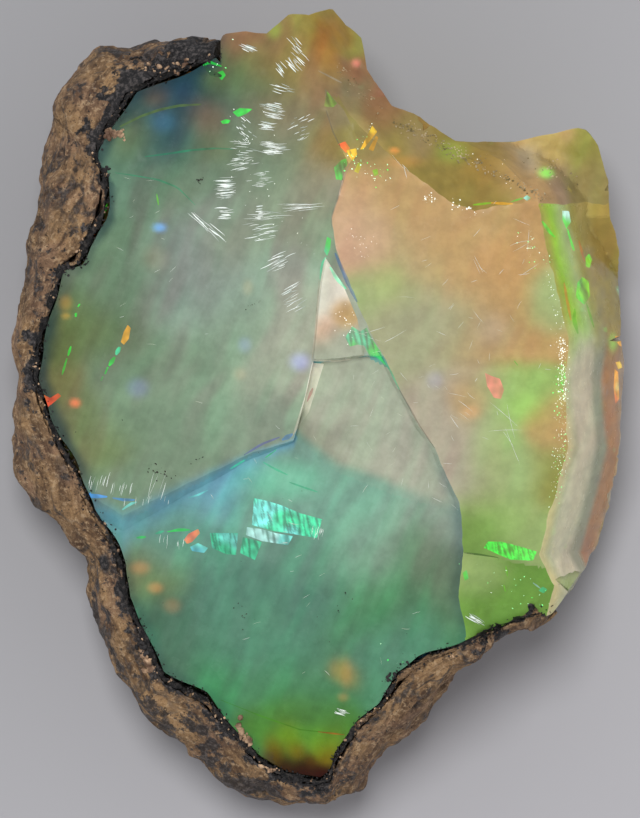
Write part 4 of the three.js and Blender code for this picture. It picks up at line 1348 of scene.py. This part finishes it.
def streak_guides(name, rows, seed, spread_angle):
    """Guides for loose short lines that lie on the upper face."""
    draw = np.random.default_rng(seed)
    steps = np.linspace(-1.0, 1.0, 6)
    bulge = 1 - steps ** 2
    paths, edges, thick = [], [], []
    for px, py, wide, tall, count, length, angle, width in rows:
        for step in range(count):
            rung = 2.0 * (step + 0.5) / count - 1.0
            even, loose = 1.3 * rung + 0.12 * draw.normal(), 0.6 * draw.normal()
            steep = abs(math.sin(math.radians(angle))) > 0.8
            cx = px + wide * (even if steep else loose)
            cy = py + tall * (loose if steep else even)
            turn = math.radians(angle + draw.normal() * spread_angle)
            half = 0.5 * length * draw.uniform(0.45, 1.15)
            bow = draw.normal() * 0.05 * half
            bold = width * draw.uniform(0.5, 1.2)
            qx = cx + steps * half * math.cos(turn) - bow * bulge * math.sin(turn)
            qy = cy - steps * half * math.sin(turn) - bow * bulge * math.cos(turn)
            first = len(steps) * len(paths)
            edges += [(first + i, first + i + 1) for i in range(len(steps) - 1)]
            paths.append(spots(*zip(qx, qy)))
            thick += (0.5 * bold * MM_PER_PIXEL * (1.02 - steps ** 2) ** 0.5).tolist()
    return guide_mesh(name, np.vstack(paths), edges, thick)


class Nodes:
    """Adds nodes to a tree, each with its settings and with values or links for its sockets."""

    def __init__(self, tree):
        self.tree = tree

    def add(self, kind, sockets=None, **settings):
        node = self.tree.nodes.new(kind)
        for key, value in settings.items():
            setattr(node, key, value)
        for key, value in (sockets or {}).items():
            self.put(node, key, value)
        return node

    def put(self, node, key, value):
        if isinstance(value, bpy.types.NodeSocket):
            self.tree.links.new(value, node.inputs[key])
        else:
            node.inputs[key].default_value = value


class Growth(Nodes):
    """A geometry node tree with named inputs."""

    def __init__(self, name, inputs):
        super().__init__(bpy.data.node_groups.new(name, "GeometryNodeTree"))
        face = self.tree.interface
        for title, kind, value in (("Geometry", "Geometry", None), *inputs, ("Material", "Material", None)):
            made = face.new_socket(name=title, in_out="INPUT", socket_type="NodeSocket" + kind)
            if value is not None:
                made.default_value = value
        face.new_socket(name="Geometry", in_out="OUTPUT", socket_type="NodeSocketGeometry")
        self.inputs = self.add("NodeGroupInput").outputs

    def thickness(self, factor):
        """The guide's own thickness at each point, times a factor."""
        thick = self.add("GeometryNodeInputNamedAttribute", {"Name": "thick"}, data_type="FLOAT")
        both = {0: thick.outputs["Attribute"], 1: factor}
        return self.add("ShaderNodeMath", both, operation="MULTIPLY").outputs[0]

    def random_vector(self, low, high):
        sockets = {0: low, 1: high, "Seed": self.inputs["Seed"]}
        return self.add("FunctionNodeRandomValue", sockets, data_type="FLOAT_VECTOR").outputs[0]

    def finish(self, shape):
        loose = self.add("GeometryNodeRealizeInstances", {"Geometry": shape}).outputs["Geometry"]
        paint = self.add("GeometryNodeSetMaterial", {"Geometry": loose, "Material": self.inputs["Material"]})
        self.add("NodeGroupOutput", {"Geometry": paint.outputs["Geometry"]})
        return self.tree


def ridge_tree():
    """Turns each guide line into a thin glassy ridge, tapered to both ends."""
    work = Growth("glassy ridges", (("Thickness", "Float", 1.0), ("Sides", "Int", 5)))
    curve = work.add("GeometryNodeMeshToCurve", {"Mesh": work.inputs["Geometry"]}).outputs["Curve"]
    radius = work.thickness(work.inputs["Thickness"])
    curve = work.add("GeometryNodeSetCurveRadius", {"Curve": curve, "Radius": radius}).outputs["Curve"]
    ring = work.add("GeometryNodeCurvePrimitiveCircle", {"Radius": 1.0, "Resolution": work.inputs["Sides"]})
    tube = work.add("GeometryNodeCurveToMesh", {
        "Curve": curve, "Profile Curve": ring.outputs["Curve"], "Fill Caps": True})
    if "Scale" in tube.inputs:
        work.put(tube, "Scale", radius)
    return work.finish(tube.outputs["Mesh"])


def grain_tree():
    """Puts a small angular grain on every guide point, turned and squashed at random."""
    work = Growth("angular grains", (("Size", "Float", 1.0), ("Seed", "Int", 3)))
    ball = work.add("GeometryNodeMeshIcoSphere", {"Radius": 1.0, "Subdivisions": 1}).outputs["Mesh"]
    turn = work.random_vector((0.0, 0.0, 0.0), (FULL_TURN, FULL_TURN, FULL_TURN))
    squash = work.random_vector((0.5, 0.7, 0.4), (1.3, 1.3, 0.9))
    size = work.add("ShaderNodeVectorMath", {0: squash, "Scale": work.thickness(work.inputs["Size"])},
                    operation="SCALE").outputs[0]
    grains = work.add("GeometryNodeInstanceOnPoints", {
        "Points": work.inputs["Geometry"], "Instance": ball, "Scale": size, "Rotation": turn})
    return work.finish(grains.outputs["Instances"])


def grow(piece, tree, settings):
    """Runs a node tree on a guide mesh and keeps the result as the piece's own mesh."""
    modifier = piece.modifiers.new("grow", "NODES")
    modifier.node_group = tree
    for item in tree.interface.items_tree:
        if item.in_out == "INPUT" and item.name in settings:
            modifier[item.identifier] = settings[item.name]
    apply_modifiers(piece)
    put_coordinates(piece.data, coordinates(piece.data) * MM)


def line_grains(name, rows, seed, fence=None):
    """Guides for grains strewn along lines inside a fence: path in pixels, how many, spread, size."""
    draw = np.random.default_rng(seed)
    points, thick = [], []
    for pairs, count, spread, size in rows:
        path = walk(np.array(pairs, float), 1.0)
        for _ in range(count):
            px, py = path[draw.integers(len(path))] + draw.normal(size=2) * spread
            points.append(spot(px, py))
            thick.append(size * MM_PER_PIXEL * draw.uniform(0.3, 1.0) ** 1.6)
    points, thick = np.array(points), np.array(thick)
    if fence is not None:
        kept = inside(fence, *points.T)
        points, thick = points[kept], thick[kept]
    return guide_mesh(name, points, [], thick)


def rim_grains(name, count, inward, spread, size, seed):
    """Guides for grains strewn along the whole rim of the rock."""
    draw = np.random.default_rng(seed)
    path = walk(RIM, 0.02)
    path = path[draw.integers(len(path), size=count)]
    away = path / np.hypot(*path.T)[:, None]
    path = path + away * draw.normal(-inward, spread, count)[:, None] + draw.normal(0.0, 0.05, (count, 2))
    lift = draw.uniform(-0.03, 0.05, count)
    return guide_mesh(name, path, [], size * draw.uniform(0.25, 1.0, count) ** 1.8, lift)


# Materials

OPAL_IOR = 1.45
BLACK = (0, 0, 0, 1)
# The colours that the cells of the free walls flash in
WALL_FIRE = [
    (0.0, (20, 200, 70)), (0.35, (120, 230, 30)), (0.6, (255, 150, 40)), (0.8, (40, 220, 160)),
    (1.0, (60, 120, 220)),
]


class Board(Nodes):
    """A material and its nodes."""

    def __init__(self, name):
        self.material = bpy.data.materials.new(name)
        self.material.use_nodes = True
        super().__init__(self.material.node_tree)

    def finish(self, sockets):
        for key, value in sockets.items():
            self.put(self.tree.nodes["Principled BSDF"], key, value)
        self.material.cycles.emission_sampling = "NONE"
        return self.material

    def place(self, scale=(1, 1, 1), lean=0.0):
        """Object coordinates in millimetres, first turned about Z and then stretched."""
        where = self.add("ShaderNodeTexCoord").outputs["Object"]
        if lean:
            where = self.add("ShaderNodeMapping", {"Vector": where, "Rotation": (0.0, 0.0, lean)}).outputs[0]
        size = tuple(s / MM for s in scale)
        return self.add("ShaderNodeMapping", {"Vector": where, "Scale": size}).outputs[0]

    def noise(self, scale, detail, roughness=0.5, at=None):
        sockets = {"Vector": at or self.place(), "Scale": scale, "Detail": detail, "Roughness": roughness}
        return self.add("ShaderNodeTexNoise", sockets).outputs["Fac"]

    def layered(self, rate, detail, roughness=0.5):
        """Noise drawn out along the rock's layers."""
        turns = self.times(self.attribute("layer"), rate)
        sockets = {"Vector": self.place((0.5, 0.5, 0.5)), "W": turns, "Scale": 1.0, "Detail": detail,
                   "Roughness": roughness}
        return self.add("ShaderNodeTexNoise", sockets, noise_dimensions="4D").outputs["Fac"]

    def attribute(self, name, output="Fac"):
        return self.add("ShaderNodeAttribute", attribute_name=name).outputs[output]

    def between(self, value, low, high, to_low=0.0, to_high=1.0):
        sockets = {0: value, 1: low, 2: high, 3: to_low, 4: to_high}
        return self.add("ShaderNodeMapRange", sockets, interpolation_type="SMOOTHSTEP").outputs[0]

    def worked(self, kind, a, b=0.0):
        return self.add("ShaderNodeMath", {0: a, 1: b}, operation=kind).outputs[0]

    def plus(self, a, b):
        return self.worked("ADD", a, b)

    def times(self, a, b):
        return self.worked("MULTIPLY", a, b)

    def larger(self, a, b):
        return self.worked("MAXIMUM", a, b)

    def mix(self, share, a, b, kind="MIX"):
        sockets = {0: share, 6: a, 7: b}
        return self.add("ShaderNodeMix", sockets, data_type="RGBA", blend_type=kind).outputs[2]

    def bump(self, height, strength, depth, under=None):
        sockets = {"Height": height, "Strength": strength, "Distance": depth * MM}
        if under is not None:
            sockets["Normal"] = under
        return self.add("ShaderNodeBump", sockets).outputs["Normal"]


def rgb(*shade):
    return (*to_light(shade).tolist(), 1.0)


def wall_flashes(board, free):
    """Fire on the free walls: cells that each flash one colour, most of them dark."""
    cells = board.add("ShaderNodeTexVoronoi", {"Vector": board.place((1.0, 1.0, 0.6)), "Scale": 1.1},
                      feature="F1").outputs
    chance = board.add("ShaderNodeSeparateColor", {0: cells["Color"]}).outputs
    hues = board.add("ShaderNodeValToRGB", {"Fac": chance[0]})
    put_stops(hues.color_ramp, [(at, rgb(*shade)) for at, shade in WALL_FIRE])
    lit = board.between(chance[1], 0.72, 0.9)
    core = board.between(cells["Distance"], 0.5, 0.1)
    streak = board.between(board.noise(3.5, 2.0, at=board.place((1, 1, 0.25))), 0.45, 0.6)
    share = board.times(board.times(lit, core), board.times(streak, free))
    return board.mix(board.times(share, 0.5), BLACK, hues.outputs["Color"])


def opal_material():
    board = Board("opal")
    free = board.attribute("free")
    glow = board.mix(1.0, board.attribute("fire", "Color"), wall_flashes(board, free), "ADD")
    fine = board.bump(board.noise(9.0, 3.0), 0.12, 0.02)
    normal = board.bump(board.noise(1.1, 3.0), 0.2, 0.06, fine)
    gloss = board.plus(board.between(board.noise(1.6, 4.0), 0.35, 0.7, 0.12, 0.3),
                       board.times(board.attribute("ragged"), 0.4))
    # fine slanting threads in the body of the left faces, and clouds all over
    threads = board.noise(1.0, 4.0, 0.6, board.place((1.7, 0.3, 0.3), lean=0.4))
    clouds = board.noise(1.4, 6.0, 0.62)
    veil = board.times(board.between(threads, 0.3, 0.7, -0.07, 0.07), board.attribute("curtains"))
    fine_light = board.plus(veil, board.between(clouds, 0.3, 0.7, 0.91, 1.09))
    return board.finish({
        "Base Color": board.mix(1.0, board.attribute("body", "Color"), fine_light, "MULTIPLY"),
        "Roughness": gloss,
        "IOR": OPAL_IOR,
        "Specular IOR Level": 0.14,
        "Transmission Weight": board.between(free, 0.2, 1.0, 0.0, 0.3),
        "Subsurface Weight": 0.3,
        "Subsurface Radius": (1.0, 0.9, 0.8),
        "Subsurface Scale": 0.8 * MM,
        # the play of colour and the wall flashes glow as emission: painted light
        "Emission Color": glow,
        "Emission Strength": 0.9,
        "Normal": normal,
    })


def rock_colour(board):
    """Tan to brown clayey rock in thin layers that follow the opal's rim, with pinkish patches."""
    fibres = board.layered(3.4, 6.0, 0.66)
    patches = board.noise(0.45, 4.0)
    speckle = board.noise(6.0, 3.0, 0.65)
    grit = board.noise(4.0, 5.0, 0.75)
    tan = board.mix(board.between(fibres, 0.34, 0.64), rgb(82, 58, 38), rgb(172, 137, 96))
    pink = board.mix(board.between(fibres, 0.32, 0.68), rgb(92, 66, 48), rgb(164, 130, 100))
    colour = board.mix(board.between(patches, 0.42, 0.6), tan, pink)
    colour = board.mix(board.between(grit, 0.5, 0.64, 0.0, 0.6), colour, rgb(208, 178, 140))
    colour = board.mix(board.between(grit, 0.46, 0.36, 0.0, 0.6), colour, rgb(76, 56, 42))
    return board.mix(board.between(speckle, 0.6, 0.68, 0.0, 0.9), colour, rgb(40, 31, 27))


def black_share(board, softness):
    """Where the manganese covers: along the rim, out to a ragged distance."""
    drift = board.between(board.layered(1.2, 4.0), 0.3, 0.7, -0.4, 0.4)
    ragged = board.between(board.noise(1.4, 5.0, 0.65), 0.28, 0.72, -0.5, 0.5)
    reach = board.plus(board.attribute("stain"), board.plus(ragged, drift))
    return board.between(reach, -softness, softness)


def rock_material():
    board = Board("host_rock")
    colour = rock_colour(board)
    line = board.worked("ABSOLUTE", board.worked("SUBTRACT", board.layered(0.9, 4.0), 0.5))
    some = board.between(board.noise(0.35, 3.0), 0.42, 0.6, 0.15, 0.85)
    veins = board.times(board.between(line, 0.045, 0.0), some)
    # black blots: partly real blotches, partly painted shade on the lower rock
    soil_and_shade = board.plus(board.noise(0.9, 6.0, 0.7), board.times(board.attribute("blotch_and_shade"), 0.13))
    blots = board.times(board.between(soil_and_shade, 0.6, 0.66), 0.9)
    dark = black_share(board, 0.12)
    for more in (veins, blots, board.attribute("pit")):
        dark = board.larger(dark, more)
    ink = board.between(board.noise(5.0, 5.0, 0.75), 0.46, 0.64)
    colour = board.mix(dark, colour, board.mix(ink, rgb(14, 13, 16), rgb(92, 86, 84)))
    height = board.plus(board.noise(4.0, 6.0, 0.75), board.layered(4.0, 5.0, 0.6))
    return board.finish({
        "Base Color": colour,
        "Roughness": board.between(dark, 0, 1, 0.9, 0.5),
        "Normal": board.bump(height, 0.9, 0.22),
    })


def film_material():
    board = Board("manganese_film")
    ink = board.between(board.noise(5.0, 5.0, 0.7), 0.48, 0.66)
    ink = board.mix(ink, rgb(8, 8, 10), rgb(74, 68, 64))
    return board.finish({
        "Base Color": board.mix(black_share(board, 0.1), rock_colour(board), ink),
        "Roughness": board.between(board.noise(3.0, 3.0), 0.3, 0.7, 0.3, 0.7),
        "Normal": board.bump(board.noise(6.0, 5.0, 0.75), 1.0, 0.22),
    })


def glint_material(name, shade, strength):
    board = Board(name)
    tint = board.mix(board.between(board.noise(3.0, 2.0), 0.3, 0.7), rgb(*shade), rgb(235, 240, 235))
    return board.finish({
        "Base Color": tint,
        "Roughness": 0.15,
        "IOR": OPAL_IOR,
        "Emission Color": tint,
        "Emission Strength": strength,
    })


def crumb_material(name, dark, light):
    board = Board(name)
    tint = board.mix(board.between(board.noise(1.6, 3.0), 0.35, 0.65), rgb(*dark), rgb(*light))
    normal = board.bump(board.noise(9.0, 3.0), 0.6, 0.05)
    return board.finish({"Base Color": tint, "Roughness": 0.7, "Normal": normal})


def floor_material():
    board = Board("pale_floor")
    ground = board.add("ShaderNodeSeparateXYZ", {0: board.place()}).outputs
    # the floor is painted darker towards the upper left and lighter towards the lower right: painted light
    # falloff
    across = board.between(board.worked("SUBTRACT", ground[0], ground[1]), -34.0, 34.0)
    return board.finish({
        "Base Color": board.mix(across, rgb(150, 150, 153), rgb(170, 169, 173)),
        "Roughness": 0.6,
    })


def make_floor():
    mesh = bpy.data.meshes.new("floor")
    corners = [(x * FLOOR_HALF, y * FLOOR_HALF, 0) for x, y in ((-1, -1), (1, -1), (1, 1), (-1, 1))]
    mesh.from_pydata(corners, [], [(0, 1, 2, 3)])
    mesh.materials.append(floor_material())
    new_object("floor", mesh)


def add_sun(name, direction, spread, strength):
    data = bpy.data.lights.new(name, "SUN")
    data.angle = math.radians(spread)
    data.energy = strength
    sun = new_object(name, data)
    sun.rotation_mode = "QUATERNION"
    sun.rotation_quaternion = (-Vector(direction)).to_track_quat("-Z", "Y")


# Room and camera, in metres. Light from the room: sine of the height above the horizon, and level
FLOOR_HALF = 1.6
CAMERA_HEIGHT = 0.6
IN_STEP_HEIGHT = 0.009  # the level at which the photograph's scale holds
SENSOR = 36.0
ROOM_TINT = np.array([0.985, 0.98, 1.0])
ROOM_LIGHT = [(0.0, 0.4), (0.07, 0.4), (0.3, 0.84), (0.6, 0.8), (0.96, 0.2)]
SUN_LIGHT = 1.85


def make_camera():
    """Looks straight down, with the spike up. The height keeps the upper face and the outline in step."""
    data = bpy.data.cameras.new("camera")
    data.sensor_width = SENSOR
    data.lens = SENSOR * (CAMERA_HEIGHT - IN_STEP_HEIGHT) / (PHOTO_SIZE[1] * MM_PER_PIXEL * MM)
    data.clip_start = 0.01
    data.clip_end = 10.0
    camera = new_object("camera", data)
    x, y = spot(PHOTO_SIZE[0] / 2, PHOTO_SIZE[1] / 2)
    camera.location = (x * MM, y * MM, CAMERA_HEIGHT)
    bpy.context.scene.camera = camera


def put_stops(ramp_of_node, stops):
    """Sets a colour ramp's stops, the first and the last of which it has from the start."""
    elements = ramp_of_node.elements
    elements[0].position, elements[1].position = stops[0][0], stops[-1][0]
    for at, _ in stops[1:-1]:
        elements.new(at)
    for element, (_, colour) in zip(elements, stops):
        element.color = colour


def make_world():
    """A soft grey room: floor-grey at the horizon, brightest half-way up, dim overhead."""
    world = bpy.data.worlds.new("soft grey room")
    world.use_nodes = True
    work = Nodes(world.node_tree)
    height = work.add("ShaderNodeSeparateXYZ", {0: work.add("ShaderNodeTexCoord").outputs["Generated"]})
    levels = work.add("ShaderNodeValToRGB", {"Fac": height.outputs["Z"]})
    levels.color_ramp.interpolation = "EASE"
    put_stops(levels.color_ramp, [(at, (*(level * ROOM_TINT).tolist(), 1.0)) for at, level in ROOM_LIGHT])
    back = work.tree.nodes["Background"]
    work.put(back, "Color", levels.outputs["Color"])
    work.put(back, "Strength", 1.0)
    bpy.context.scene.world = world


def settle(piece, slot, look=None, node=None):
    """Gives a piece its material, hangs it under the root and hides the construction's node that it stands
    for, if any; the slot is not used.
    """
    if look is not None:
        piece.data.materials.append(look)
    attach(piece, "root")
    if node is not None:
        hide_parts(node)


make_camera()
make_world()
bpy.context.scene.view_settings.view_transform = "Standard"
add_sun("window", (-0.07, 0.24, 1.0), 20.0, SUN_LIGHT)
make_floor()

opal, opal_outline = make_opal()
fence = opal_outline * FENCE_SHARE
settle(opal, "opal", opal_material(), "opal_body")
settle(make_rock(), "host_rock", rock_material(), "host_rock")
settle(make_film(), "manganese_skin", film_material(), "manganese_skin")

# name, rows, seed, fan in degrees, colour, glow, thickness
ridges = ridge_tree()
for name, rows, seed, fan, shade, glow, thickness in (
    ("hackles", HACKLES, 11, 3, (225, 235, 230), 0.3, 0.6),
    ("faint_hackles", HACKLES, 13, 6, (170, 184, 172), 0.0, 0.55),
    ("scratches", SCRATCHES, 12, 28, (200, 205, 180), 0.0, 0.8),
):
    lines = streak_guides(name, rows, seed, fan)
    look = glint_material(name, shade, glow)
    grow(lines, ridges, {"Thickness": thickness, "Sides": 5, "Material": look})
    settle(lines, "opal")

black_crumb = crumb_material("black_crumbs", (8, 8, 10), (44, 40, 40))
tan_crumb = crumb_material("tan_crumbs", (98, 72, 54), (206, 172, 138))
speck = crumb_material("dark_specks", (24, 26, 22), (60, 56, 40))
crest_grain = crumb_material("crest_grains", (112, 100, 58), (206, 186, 150))
white_glint = glint_material("white_sparks", (235, 240, 225), 0.7)
green_glint = glint_material("green_sparks", (40, 235, 80), 0.8)
crumbs = grain_tree()
for guides, look, slot in (
    (rim_grains("rim_crumbs_black", 2000, 0.12, 0.14, 0.07, 21), black_crumb, "host_rock"),
    (rim_grains("rim_crumbs_tan", 200, 0.0, 0.14, 0.09, 22), tan_crumb, "host_rock"),
    (line_grains("knobs_black", BLACK_KNOBS, 23), black_crumb, "host_rock"),
    (line_grains("knobs_tan", TAN_KNOBS, 24), tan_crumb, "host_rock"),
    (line_grains("specks", SPECKS, 25, fence), speck, "opal"),
    (line_grains("crest_grains", CREST_GRAINS, 28, fence), crest_grain, "opal"),
    (line_grains("sparks_white", WHITE_SPARKS, 26, fence), white_glint, "opal"),
    (line_grains("sparks_green", GREEN_SPARKS, 27, fence), green_glint, "opal"),
):
    grow(guides, crumbs, {"Size": 1.0, "Seed": 5, "Material": look})
    settle(guides, slot)
